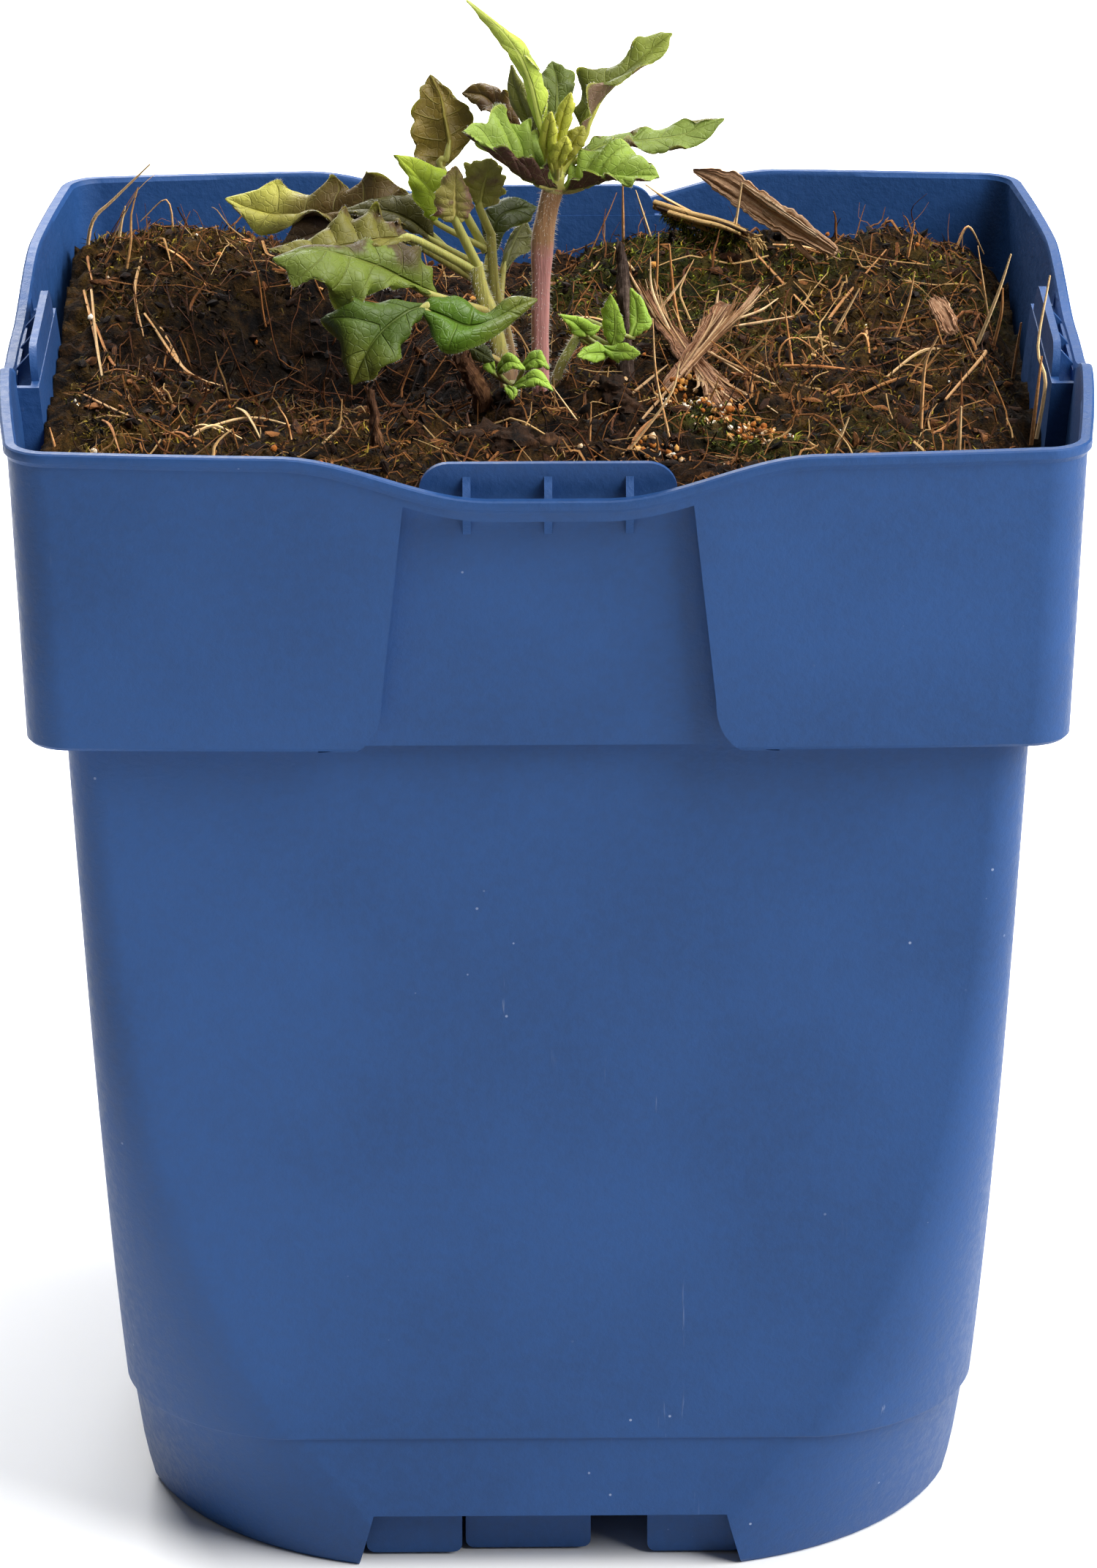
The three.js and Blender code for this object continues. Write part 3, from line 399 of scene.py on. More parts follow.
@dataclass(frozen=True)
class Wood:
    """Bark, straw or dead stem with its grain along the layer Along and its tone in the layer Tone."""

    name: str
    dark: str
    middle: str
    light: str
    streaks: float = 15.0
    roughness: float = 0.8

    def material(self) -> Material:
        """Lays out the wood.

        Returns:
            The material.
        """
        bench = Bench(self.name)
        turned = bench.add("ShaderNodeCombineXYZ")
        bench.wire(turned.inputs["X"], bench.times(bench.layer("Along"), 2.2))
        bench.wire(turned.inputs["Y"], bench.times(bench.layer("Round"), self.streaks))
        bench.wire(turned.inputs["Z"], bench.times(bench.layer("Tone"), 37.0))
        grain = bench.grain(1.0, 5, 0.65, turned.outputs["Vector"])
        pores = bench.grain(2400, 3, 0.7)
        tone = bench.plus(bench.times(grain, 0.75), bench.times(pores, 0.25))
        tone = bench.plus(tone, bench.times(bench.sum("SUBTRACT", bench.layer("Tone"), 0.5), 0.5))
        dark, middle, light = paint(self.dark), paint(self.middle), paint(self.light)
        colour = bench.ramp(tone, (0.3, dark), (0.5, middle), (0.74, light))
        bench.set(base_color=colour, roughness=self.roughness, specular_ior_level=0.3)
        relief = bench.bump(grain, 0.0004, 0.8)
        bench.set(normal=bench.bump(pores, 0.0002, 0.5, relief))
        return bench.material


@dataclass(frozen=True)
class LeafSkin:
    """The two sides of a leaf: their greens, the pale veins and down, and the purple flush.

    The flush lies where Along is within its spread, on both sides of the midrib or, where flush_side is
    -1 or 1, on the left or right half alone.
    """

    name: str
    upper: str
    lower: str
    tip: str = ""
    flush: str = "4a2b33"
    flushed: float = 0.2
    spread: Pair = (-0.4, 1.4)
    flush_side: int = 0
    vein: str = "b9c46a"
    veined: float = 0.45
    rim: str = "a7b06a"
    roughness: float = 0.5

    def stain(self, bench: Bench, side: Socket) -> Socket:
        """Where the flush lies.

        Args:
            bench: The bench the finish is laid out on.
            side: From 0 at the midrib to 1 at the edge.

        Returns:
            The share of the flush.
        """
        low = 0.8 - 0.5 * self.flushed
        blotch = bench.plus(bench.grain(210, 5, 0.6), bench.times(side, 0.1))
        stain = bench.span(blotch, low, low + 0.14, (0.0, min(1.0, 0.25 + self.flushed)))
        start, end = self.spread
        stain = bench.times(stain, bench.span(bench.layer("Along"), start, start + 0.2))
        stain = bench.times(stain, bench.span(bench.layer("Along"), end, end - 0.2))
        if self.flush_side:
            half = bench.times(bench.layer("Across"), float(self.flush_side))
            stain = bench.times(stain, bench.span(half, 0.05, 0.4))
        return stain

    def veins(self, bench: Bench, side: Socket) -> Socket:
        """Where the midrib, the side veins and their net run.

        Args:
            bench: The bench the finish is laid out on.
            side: From 0 at the midrib to 1 at the edge.

        Returns:
            The share of the veins.
        """
        lines = bench.sum("ABSOLUTE", bench.sum("COSINE", bench.times(bench.layer("Vein"), pi)))
        lines = bench.times(bench.span(lines, 0.16, 0.02), bench.span(side, 0.96, 0.6))
        taper = bench.span(bench.layer("Along"), 1.0, 0.05, (0.05, 0.28))
        rib = bench.span(bench.sum("DIVIDE", bench.layer("Reach"), taper), 1.25, 0.55)
        net = bench.span(bench.cells(1100, "DISTANCE_TO_EDGE"), 0.09, 0.0)
        veins = bench.sum("MAXIMUM", rib, bench.times(lines, 0.6))
        return bench.sum("MAXIMUM", veins, bench.times(net, 0.14))

    def material(self) -> Material:
        """Lays out the leaf, which reads Along, Across, Vein, Reach and Under.

        Returns:
            The material.
        """
        bench = Bench(self.name)
        side = bench.sum("ABSOLUTE", bench.layer("Across"))
        upper, lower, tip = paint(self.upper), paint(self.lower), paint(self.tip or self.upper)
        patches = bench.span(bench.grain(330, 5, 0.6), 0.32, 0.68)
        leafy = bench.mix(bench.span(bench.layer("Along"), 0.45, 0.9), upper, tip)
        leafy = bench.mix(bench.times(patches, 0.42), leafy, shaded(upper, 0.55))
        back = bench.mix(patches, shaded(lower, 0.78), shaded(lower, 1.18))
        leafy = bench.mix(bench.span(side, 0.9, 0.995, (0.0, 0.55)), leafy, paint(self.rim))
        leafy = bench.mix(self.stain(bench, side), leafy, paint(self.flush))
        veins = self.veins(bench, side)
        leafy = bench.mix(bench.times(veins, self.veined), leafy, paint(self.vein))
        back = bench.mix(bench.times(veins, 0.4), back, paint(self.vein))
        down = bench.span(bench.cells(3300), 0.15, 0.07, (0.0, 0.16))
        colour = bench.mix(bench.layer("Under"), leafy, back)
        bench.set(base_color=bench.mix(down, colour, paint("d3d6b4")))
        dull = bench.span(bench.grain(700, 3), 0.3, 0.7, (self.roughness - 0.06, self.roughness + 0.1))
        bench.set(roughness=dull, specular_ior_level=0.3)
        bench.set(subsurface_weight=0.14, subsurface_scale=0.001)
        bench.shader.inputs["Subsurface Radius"].default_value = (0.8, 0.9, 0.25)
        relief = bench.bump(bench.grain(1500, 4), 0.0002, 0.5)
        bench.set(normal=bench.bump(bench.times(veins, -1.0), 0.0003, 0.8, relief))
        return bench.material


@dataclass(frozen=True)
class StemSkin:
    """A square green stem that blushes purple towards its foot, with fine ribs."""

    name: str
    foot: str
    top: str
    low: float
    high: float

    def material(self) -> Material:
        """Lays out the stem, whose colour changes between two heights.

        Returns:
            The material.
        """
        bench = Bench(self.name)
        place = bench.add("ShaderNodeSeparateXYZ")
        bench.wire(place.inputs[0], bench.object_place)
        wander = bench.times(bench.sum("SUBTRACT", bench.grain(240, 3), 0.5), 0.008)
        height = bench.span(bench.plus(place.outputs["Z"], wander), self.low * MM, self.high * MM)
        ribs = bench.grain(1.0, 3, 0.6, bench.stretched((2600, 2600, 120)))
        foot, top = paint(self.foot), paint(self.top)
        colour = bench.mix(height, foot, top)
        pale = bench.mix(height, shaded(foot, 1.5), shaded(top, 1.4))
        colour = bench.mix(bench.span(ribs, 0.5, 0.75, (0.0, 0.7)), colour, pale)
        bench.set(base_color=colour, roughness=0.55, sheen_weight=0.35, sheen_roughness=0.4)
        bench.set(subsurface_weight=0.12, subsurface_scale=0.0012)
        bench.set(normal=bench.bump(ribs, 0.0002, 0.6))
        return bench.material


@dataclass(frozen=True)
class Down:
    """Fine pale plant hair."""

    tint: str = "e9e4d4"

    def material(self) -> Material:
        """Lays out the hair.

        Returns:
            The material.
        """
        bench = Bench("plant_hair")
        pale = paint(self.tint)
        shade = bench.mix(bench.grain(500, 2), shaded(pale, 0.8), pale)
        bench.set(base_color=shade, roughness=0.6, subsurface_weight=0.3, subsurface_scale=0.0005)
        return bench.material


@dataclass(frozen=True)
class StageFloor:
    """A plain pale studio floor."""

    tint: Colour = (0.9, 0.9, 0.9)

    def material(self) -> Material:
        """Lays out the floor.

        Returns:
            The material.
        """
        bench = Bench("stage_floor")
        soft = bench.mix(bench.grain(6, 3), shaded(self.tint, 0.985), self.tint)
        bench.set(base_color=soft, roughness=0.8, specular_ior_level=0.2)
        return bench.material


# Shaping


def smooth_step(value: float) -> float:
    """Rises softly from 0 at 0 to 1 at 1, and stays there beyond."""
    share = min(max(value, 0.0), 1.0)
    return share * share * (3 - 2 * share)


def blend(start: float, end: float, share: float) -> float:
    """The value at a share of the way from start to end."""
    return start + (end - start) * share


@dataclass(frozen=True)
class Route:
    """A smooth line through points, in millimetres."""

    points: Sequence[Sequence[float]]

    def at(self, share: float) -> Vector:
        """The point at a share of the line.

        Args:
            share: The share of the line, from 0 to 1.

        Returns:
            The point.
        """
        spans = len(self.points) - 1
        place = min(max(share, 0.0), 1.0) * spans
        index = min(int(place), spans - 1)
        t = place - index
        b, c = Vector(self.points[index]), Vector(self.points[index + 1])
        a = Vector(self.points[index - 1]) if index else 2 * b - c
        d = Vector(self.points[index + 2]) if index + 2 <= spans else 2 * c - b
        bend = (2 * a - 5 * b + 4 * c - d) * t * t + (3 * b - a - 3 * c + d) * t * t * t
        return 0.5 * (2 * b + (c - a) * t + bend)

    def frame(self, share: float) -> tuple[Vector, Vector, Vector]:
        """The heading and two directions square to it, which never flip along the line.

        Args:
            share: The share of the line, from 0 to 1.

        Returns:
            The heading, the way across and the way up.
        """
        heading = (self.at(share + 0.01) - self.at(share - 0.01)).normalized()
        chord = Vector(self.points[-1]) - Vector(self.points[0])
        across = heading.cross(chord.orthogonal()).normalized()
        return heading, across, across.cross(heading)


class Cut(Enum):
    """The three ways in which one solid works on another."""

    AWAY = "DIFFERENCE"
    ONTO = "UNION"
    SHARED = "INTERSECT"


def lofted(rings: Sequence[Sequence[Vector]]) -> Mesh:
    """A closed skin through rings of equal count, from a grid that is wrapped round and welded.

    Args:
        rings: The rings from foot to top, in millimetres.

    Returns:
        The skin, with its ring number and place round the ring kept in the layers Row and Column.
    """
    around, levels = len(rings[0]), len(rings) - 1
    work = bmesh.new()
    row_layer = work.verts.layers.int.new("Row")
    column_layer = work.verts.layers.int.new("Column")
    bmesh.ops.create_grid(work, x_segments=around, y_segments=levels, size=0.5)
    for vertex in work.verts:
        column = round((vertex.co.x + 0.5) * around) % around
        row = round((vertex.co.y + 0.5) * levels)
        vertex[row_layer], vertex[column_layer] = row, column
        vertex.co = rings[row][column]
    bmesh.ops.remove_doubles(work, verts=work.verts, dist=1e-5)
    bmesh.ops.holes_fill(work, edges=[edge for edge in work.edges if edge.is_boundary])
    bmesh.ops.recalc_face_normals(work, faces=work.faces)
    return work


def linked(name: str, data: bpy.types.ID) -> bpy.types.Object:
    """Puts new data into the scene as an object.

    Args:
        name: The object's name.
        data: Its mesh, camera or lamp.

    Returns:
        The object.
    """
    thing = bpy.data.objects.new(name, data)
    bpy.context.scene.collection.objects.link(thing)
    return thing


def strayed(draw: Random, *spans: Pair) -> Vector:
    """A vector with each of its parts drawn from a span of its own."""
    return Vector([draw.uniform(*span) for span in spans])


def prism(outline: Sequence[Vector], way: Vector) -> Mesh:
    """A solid from a flat outline carried along a way.

    Args:
        outline: The corners, in millimetres.
        way: How far and where it is carried.

    Returns:
        The solid.
    """
    work = bmesh.new()
    face = work.faces.new([work.verts.new(corner) for corner in outline])
    grown = bmesh.ops.extrude_face_region(work, geom=[face])["geom"]
    bmesh.ops.translate(work, verts=[g for g in grown if isinstance(g, bmesh.types.BMVert)], vec=way)
    bmesh.ops.recalc_face_normals(work, faces=work.faces)
    return work


def added(work: Mesh, extra: Mesh, move: Matrix | None = None) -> None:
    """Puts a copy of one mesh into another, moved by a matrix.

    Args:
        work: The mesh that is added to.
        extra: The mesh that is put in.
        move: Where it goes.
    """
    kept = bpy.data.meshes.new("copy")
    extra.to_mesh(kept)
    if move is not None:
        kept.transform(move)
    work.from_mesh(kept)
    bpy.data.meshes.remove(kept)


def four_sides(part: Mesh) -> Mesh:
    """The same piece on all four sides of the pot. The one given is used up.

    Args:
        part: The piece on the front side.

    Returns:
        All four.
    """
    work = bmesh.new()
    for turn in range(4):
        added(work, part, Matrix.Rotation(turn * pi / 2, 4, "Z"))
    part.free()
    return work


def carved(base: Mesh, tool: Mesh, how: Cut) -> Mesh:
    """One solid worked on by another. Both are used up.

    Args:
        base: The solid that is kept.
        tool: The solid that is cut away, put on or shared.
        how: Which of the three it is.

    Returns:
        The new solid.
    """
    pair = []
    for name, work in (("base", base), ("tool", tool)):
        mesh = bpy.data.meshes.new(name)
        work.to_mesh(mesh)
        work.free()
        pair.append(linked(name, mesh))
    step = pair[0].modifiers.new("carve", "BOOLEAN")
    step.object, step.operation, step.solver = pair[1], how.value, "MANIFOLD"
    ready = pair[0].evaluated_get(bpy.context.evaluated_depsgraph_get())
    result = bmesh.new()
    result.from_mesh(ready.to_mesh())
    ready.to_mesh_clear()
    for thing in pair:
        mesh = thing.data
        bpy.data.objects.remove(thing)
        bpy.data.meshes.remove(mesh)
    return result


class Stamp:
    """A small shape that is pressed many times into one mesh, with its own layers Tone, Along and Round."""

    def __init__(self, template: Mesh) -> None:
        """Keeps the shape to press and starts an empty mesh.

        Args:
            template: The shape, whose z runs from 0 to 1 where it is to follow a route. It is used up.
        """
        self.template = bpy.data.meshes.new("stamp")
        template.to_mesh(self.template)
        template.free()
        self.work = bmesh.new()
        self.tone = self.work.verts.layers.float.new("Tone")
        self.along = self.work.verts.layers.float.new("Along")
        self.round = self.work.verts.layers.float.new("Round")

    def press(self, place: Callable[[Vector], Vector], tone: float) -> None:
        """Presses the shape once, each of its points moved by a rule.

        Args:
            place: The rule that sets a point of the shape.
            tone: The lightness it is given, from 0 to 1.
        """
        start = len(self.work.verts)
        self.work.from_mesh(self.template)
        self.work.verts.ensure_lookup_table()
        for index in range(start, len(self.work.verts)):
            vertex = self.work.verts[index]
            vertex[self.tone] = tone
            vertex[self.along] = vertex.co.z
            vertex[self.round] = vertex.co.x
            vertex.co = place(vertex.co)

    def strand(self, route: Route, radii: Sequence[float], tone: float, flat: float = 1.0) -> None:
        """Presses the shape along a route.

        Args:
            route: The line it follows.
            radii: Its radii, shared out along it.
            tone: The lightness it is given, from 0 to 1.
            flat: Its depth as a share of its width.
        """
        last = len(radii) - 1

        def place(spot: Vector) -> Vector:
            """Sets one point of the shape on the route.

            Args:
                spot: The point as the shape has it.

            Returns:
                The point on the route.
            """
            share = min(max(spot.z, 0.0), 1.0)
            _, across, lift = route.frame(share)
            index = min(int(share * last), last - 1)
            radius = blend(radii[index], radii[index + 1], share * last - index)
            return route.at(share) + across * (spot.x * radius) + lift * (spot.y * radius * flat)

        self.press(place, tone)

    def finished(self) -> Mesh:
        """The mesh with all that was pressed into it."""
        bpy.data.meshes.remove(self.template)
        return self.work


def round_rod(sides: int, steps: int, point: float = 1.0) -> Mesh:
    """A rod of radius 1 and length 1 along z, cut into steps, whose far end has a radius of its own.

    Args:
        sides: How many sides it has.
        steps: How many steps it is cut into.
        point: The radius of its far end.

    Returns:
        The rod.
    """
    work = bmesh.new()
    turn = Matrix.Translation((0, 0, 0.5))
    bmesh.ops.create_cone(work, cap_ends=True, segments=sides, radius1=1, radius2=point, depth=1, matrix=turn)
    for step in range(1, steps):
        whole = work.verts[:] + work.edges[:] + work.faces[:]
        bmesh.ops.bisect_plane(work, geom=whole, plane_co=(0, 0, step / steps), plane_no=(0, 0, 1))
    return work


def lump(seed: int, rounds: int, rough: float) -> Mesh:
    """An uneven grain of radius about 1.

    Args:
        seed: Which of its forms it takes.
        rounds: How fine its skin is.
        rough: How uneven it is.

    Returns:
        The grain.
    """
    work = bmesh.new()
    bmesh.ops.create_icosphere(work, subdivisions=rounds, radius=1)
    drift = Vector((seed * 7.3, seed * 1.9, seed * 4.1))
    for vertex in work.verts:
        swell = noise.fractal(vertex.co * 1.3 + drift, 1.0, 2.0, 3) + 0.3 * noise.noise(vertex.co * 4 + drift)
        vertex.co *= 1 + rough * swell
    return work


def piece_from(
    work: Mesh,
    name: str,
    finish: Material,
    slot: str,
    stands_for: Sequence[str] = (),
    crease: float = 40.0,
) -> bpy.types.Object:
    """Turns a mesh in millimetres into a finished piece in metres that rides on the part.

    Args:
        work: The mesh, which is used up.
        name: The piece's name.
        finish: Its material.
        slot: The record's material slot; it is not used.
        stands_for: The CAD nodes that it replaces.
        crease: The angle in degrees past which an edge stays sharp.

    Returns:
        The piece.
    """
    bmesh.ops.scale(work, vec=(MM, MM, MM), verts=work.verts)
    limit = radians(crease)
    for face in work.faces:
        face.smooth = True
    for edge in work.edges:
        edge.smooth = edge.calc_face_angle(0.0) < limit
    mesh = bpy.data.meshes.new(name)
    work.to_mesh(mesh)
    work.free()
    mesh.materials.append(finish)
    piece = linked(name, mesh)
    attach(piece, "root")
    if stands_for:
        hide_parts(*stands_for)
    LOG.info("%s: %d faces", name, len(mesh.polygons))
    return piece


# Pot


CORNER_STEPS = 18
FLAT_SIDE = (-1.0, -0.97, -0.85, -0.5, 0.0, 0.5, 0.85, 0.97, 1.0)
DIPPED_SIDE = tuple(-1 + step / 32 for step in range(65))


def square_ring(
    half: float,
    corner: float,
    z: float,
    bow: float = 0.0,
    stations: Sequence[float] = FLAT_SIDE,
    rise: Callable[[float], float] | None = None,
    crease: float = 0.0,
) -> list[Vector]:
    """One level of a square with round corners, in millimetres.

    Args:
        half: Half its width.
        corner: The radius of its corners.
        z: Its height.
        bow: How far each side swells in its middle.
        stations: Where each side has its points, from -1 to 1.
        rise: How far a point is lifted, by its place along the side.
        crease: The angle in degrees at which a corner's arc meets the flat sides.

    Returns:
        The points, anticlockwise from the front left.
    """
    straight = half - corner
    kink = radians(crease)
    radius = corner / sqrt(2) / sin(pi / 4 - kink)
    middle = Vector((straight - radius * sin(kink), radius * cos(kink) - half))
    quarter = []
    for station in stations:
        along = station * straight
        lift = rise(along) if rise else 0.0
        quarter.append(Vector((along, -half - bow * (1 - station * station), z + lift)))
    for step in range(1, CORNER_STEPS):
        angle = blend(kink - pi / 2, -kink, step / CORNER_STEPS)
        quarter.append(Vector((middle.x + radius * cos(angle), middle.y + radius * sin(angle), z)))
    turns = [Matrix.Rotation(turn * pi / 2, 3, "Z") for turn in range(4)]
    return [turn @ place for turn in turns for place in quarter]


@dataclass
class Pot:
    """The moulded pot: skirt, tapering body, collar with four sunk panels, feet and drains."""

    height: float = 128.7
    wall: float = 1.0
    skirt_height: float = 15.9
    skirt_half: Pair = (44.45, 45.4)
    skirt_corner: Pair = (28.5, 18.5)
    body_half: Pair = (45.8, 49.6)
    body_corner: Pair = (17.3, 4.1)
    body_power: float = 2.9
    corner_crease: float = 9.0
    collar_foot: float = 96.5
    collar_half: Pair = (53.4, 54.55)
    collar_bow: Pair = (0.8, 2.8)
    collar_corner: float = 4.6
    dip_depth: float = 4.3
    dip_flat: float = 6.0
    dip_run: float = 21.0
    panel_out: Pair = (51.7, 54.4)
    panel_top: float = 124.1
    panel_half: Pair = (17.0, 14.6)
    panel_flare: float = 5.6
    web_width: float = 0.9
    web_depth: Pair = (-0.9, 2.1)
    lip_height: float = 2.3
    lip_inner: float = 56.1
    tab_half: float = 13.0
    tab_top: float = 127.5
    tab_corner: float = 3.0
    tab_wall: float = 0.8
    rib_pitch: float = 8.2
    floor: Pair = (7.2, 8.4)
    notch_half: Pair = (20.85, 18.95)
    notch_height: float = 6.5
    feet: tuple[Point, ...] = ((-19.8, -9.5, 3.5), (-9.1, 4.4, 4.6), (10.5, 20.8, 3.5))
    foot_depth: float = 1.1
    foot_height: float = 7.6
    foot_middle: float = 4.2
    foot_round: float = 0.9
    drain_out: float = 27.0
    drain_radius: float = 4.0
    middle_drain_radius: float = 5.0
    slot_foot: float = 118.5
    rib_thickness: float = 0.8
    plastic: PotPlastic = PotPlastic()

    def half_at(self, z: float) -> float:
        """Half the width of skirt or body at a height.

        Args:
            z: The height in millimetres.

        Returns:
            The half width.
        """
        if z < self.skirt_height:
            return blend(*self.skirt_half, z / self.skirt_height)
        return blend(*self.body_half, (z - self.skirt_height) / (self.collar_foot - self.skirt_height))

    def corner_at(self, z: float) -> float:
        """The corner radius of skirt or body at a height.

        Args:
            z: The height in millimetres.

        Returns:
            The radius.
        """
        if z < self.skirt_height:
            return blend(*self.skirt_corner, z / self.skirt_height)
        below = max(self.collar_foot - z, 0.0) / (self.collar_foot - self.skirt_height)
        return self.body_corner[1] + (self.body_corner[0] - self.body_corner[1]) * below**self.body_power

    def body_ring(self, z: float, inset: float) -> list[Vector]:
        """One level of skirt or body.

        Args:
            z: The height in millimetres.
            inset: How far it lies inside the outer face.

        Returns:
            The points.
        """
        corner = self.corner_at(z)
        crease = self.corner_crease * smooth_step((corner - self.body_corner[1]) / 8)
        return square_ring(self.half_at(z) - inset, corner - inset, z, crease=crease)

    def dip(self, along: float) -> float:
        """How far the rim dips at a place along a side."""
        return self.dip_depth * (1 - smooth_step((abs(along) - self.dip_flat) / self.dip_run))

    def collar_ring(self, z: float, inset: float, dips: bool = False) -> list[Vector]:
        """One level of the collar, which follows the dips where asked.

        Args:
            z: The height in millimetres.
            inset: How far it lies inside the outer face.
            dips: Whether it follows the dips.

        Returns:
            The points.
        """
        share = (z - self.collar_foot) / (self.height - self.collar_foot)
        return square_ring(
            blend(*self.collar_half, share) - inset,
            max(self.collar_corner - inset, 0.4),
            z,
            blend(*self.collar_bow, share),
            DIPPED_SIDE,
            (lambda along: -self.dip(along)) if dips else None,
        )

    def panel_at(self, z: float) -> float:
        """How far out the face of a sunk panel stands at a height."""
        shelf = self.collar_foot + self.wall
        return blend(*self.panel_out, (z - shelf) / (self.panel_top - shelf))

    def leaning(self, spans: Sequence[Pair], left: float, right: float) -> Mesh:
        """A solid drawn in distance outward and height, carried along the front side."""
        outline = [Vector((left, -outward, z)) for outward, z in spans]
        return prism(outline, Vector((right - left, 0, 0)))

    def panel_band(self, inner: float, outer: float, foot: float, top: float) -> Mesh:
        """The slanted band between two distances from a panel's face.

        Args:
            inner: The nearer distance.
            outer: The farther distance.
            foot: Its lower end.
            top: Its upper end.

        Returns:
            The band.
        """
        corners = [(self.panel_at(foot) + inner, foot), (self.panel_at(foot) + outer, foot)]
        corners += [(self.panel_at(top) + outer, top), (self.panel_at(top) + inner, top)]
        return self.leaning(corners, -30, 30)

    def panel_outline(self, margin: float) -> list[Pair]:
        """The edge of a panel's opening: leaning sides, flared below, and a top that follows the dip.

        Args:
            margin: How far outside the opening it runs. At 0 it is the opening itself.

        Returns:
            Its corners, as places along the side and heights.
        """
        foot = self.collar_foot if margin > 0 else self.collar_foot - 1
        half_foot, half_top = self.panel_half[0] + margin, self.panel_half[1] + margin
        flare = self.panel_flare
        curve = []
        for step in range(13):
            t = step / 12
            start, bend, end = (1 - t) ** 2, 2 * (1 - t) * t, t * t
            along = start * (half_foot + flare) + bend * half_foot + end * half_foot
            z = start * foot + bend * self.collar_foot + end * (self.collar_foot + flare)
            curve.append((along, z))
        if margin > 0:
            top = [(half_top, self.panel_top), (-half_top, self.panel_top)]
        else:
            places = [half_top * (1 - step / 14) for step in range(29)]
            top = [(along, self.height - self.dip(along) - self.lip_height) for along in places]
        return curve + top + [(-along, z) for along, z in reversed(curve)]

    def side_solid(self, outline: Sequence[Pair], near: float, far: float) -> Mesh:
        """A solid drawn across the front side and carried outward."""
        return prism([Vector((along, -near, z)) for along, z in outline], Vector((0, near - far, 0)))

    def shell(self) -> Mesh:
        """The body and collar, hollowed out.

        Returns:
            The solid.
        """
        shelf, foot, top, wall = self.skirt_height, self.collar_foot, self.height, self.wall
        rings = [self.body_ring(0.0, 0.35)]
        rings += [self.body_ring(z, 0.0) for z in (0.5, 4, 8, 12, 15.5, shelf - 0.01)]
        rings.append(self.body_ring(shelf + 0.05, 0.12))
        rings += [self.body_ring(shelf + 0.25 + 2.55 * step, 0) for step in range(32)]
        rings.append(self.body_ring(foot + 1.5, 0))
        outside = [(foot, 0.9, False), (foot + 0.12, 0.35, False)]
        outside += [(foot + above, 0.0, False) for above in (0.5, 3, 8, 15, 22)]
        bead = [(-1.5, 0.0), (-1.2, -0.2), (-0.95, -0.42), (-0.5, -0.45), (-0.15, -0.36), (0, -0.15)]
        outside += [(top + below, inset, True) for below, inset in bead]
        outside += [(top - 0.02, 2.0, True), (foot + 10, 6.0, False)]
        collar = lofted([self.collar_ring(*level) for level in outside])
        solid = carved(lofted(rings), collar, Cut.ONTO)
        inner = [self.floor[1] + 0.01, 12, 16, 24, 34, 46, 58, 70, 84, foot + wall + 1]
        solid = carved(solid, lofted([self.body_ring(z, wall) for z in inner]), Cut.AWAY)
        mouth = [(foot + above, wall, False) for above in (wall, 12, 24)]
        mouth += [(top - 0.5, wall, True), (top - 0.05, 0.75, True), (top + 1.5, 0.6, True)]
        mouth.append((top + 6, 0.6, False))
        solid = carved(solid, lofted([self.collar_ring(*level) for level in mouth]), Cut.AWAY)
        under = [self.body_ring(z, wall + 0.1) for z in (-1.0, self.floor[0])]
        return carved(solid, lofted(under), Cut.AWAY)

    def panels(self, solid: Mesh) -> Mesh:
        """Adds the sunk panels with their webs, tabs and ribs, and opens the collar over them.

        Args:
            solid: The pot so far, which is used up.

        Returns:
            The pot with its panels.
        """
        foot, top = self.collar_foot, self.panel_top
        inside, outside, beyond = 49, 60, 62
        surround = self.side_solid(self.panel_outline(self.web_width), inside, outside)
        surround = carved(surround, self.panel_band(*self.web_depth, foot, top + 1), Cut.SHARED)
        arc = [(cos(pi / 2 * s / 8), sin(pi / 2 * s / 8)) for s in range(9)]
        inner, low = self.tab_half - self.tab_corner, self.tab_top - self.tab_corner
        right = [(inner + self.tab_corner * c, low + self.tab_corner * s) for c, s in arc]
        tab = [(-self.tab_half, top - 1), (self.tab_half, top - 1), *right]
        tab += [(-along, z) for along, z in reversed(right)]
        arched = self.side_solid(tab, inside, outside)
        arched = carved(arched, self.panel_band(-self.tab_wall, 0, top - 2, 129), Cut.SHARED)
        solid = carved(solid, four_sides(surround), Cut.ONTO)
        solid = carved(solid, four_sides(arched), Cut.ONTO)
        opening = self.side_solid(self.panel_outline(0.0), inside, beyond)
        opening = carved(opening, self.panel_band(0, 12, foot - 2, top + 1), Cut.SHARED)
        solid = carved(solid, four_sides(opening), Cut.AWAY)
        low, high, half, lip = self.slot_foot, self.height + 1, self.panel_half[1], self.lip_inner
        slot = [(self.panel_at(low), low), (lip, low), (lip, high), (self.panel_at(high), high)]
        solid = carved(solid, four_sides(self.leaning(slot, -half, half)), Cut.AWAY)
        lip_top, rib_foot, rib_top = self.height - self.dip_depth - 0.3, low + 1, 126.4
        edge = [(self.panel_at(rib_foot) - 0.3, rib_foot), (lip + 0.3, lip_top - self.lip_height + 0.5)]
        edge += [(lip + 0.3, lip_top), (self.panel_at(rib_top) - 0.3, rib_top)]
        ribs = bmesh.new()
        for middle in (-self.rib_pitch, 0.0, self.rib_pitch):
            rib = self.leaning(edge, middle - self.rib_thickness / 2, middle + self.rib_thickness / 2)
            added(ribs, rib)
            rib.free()
        return carved(solid, four_sides(ribs), Cut.ONTO)

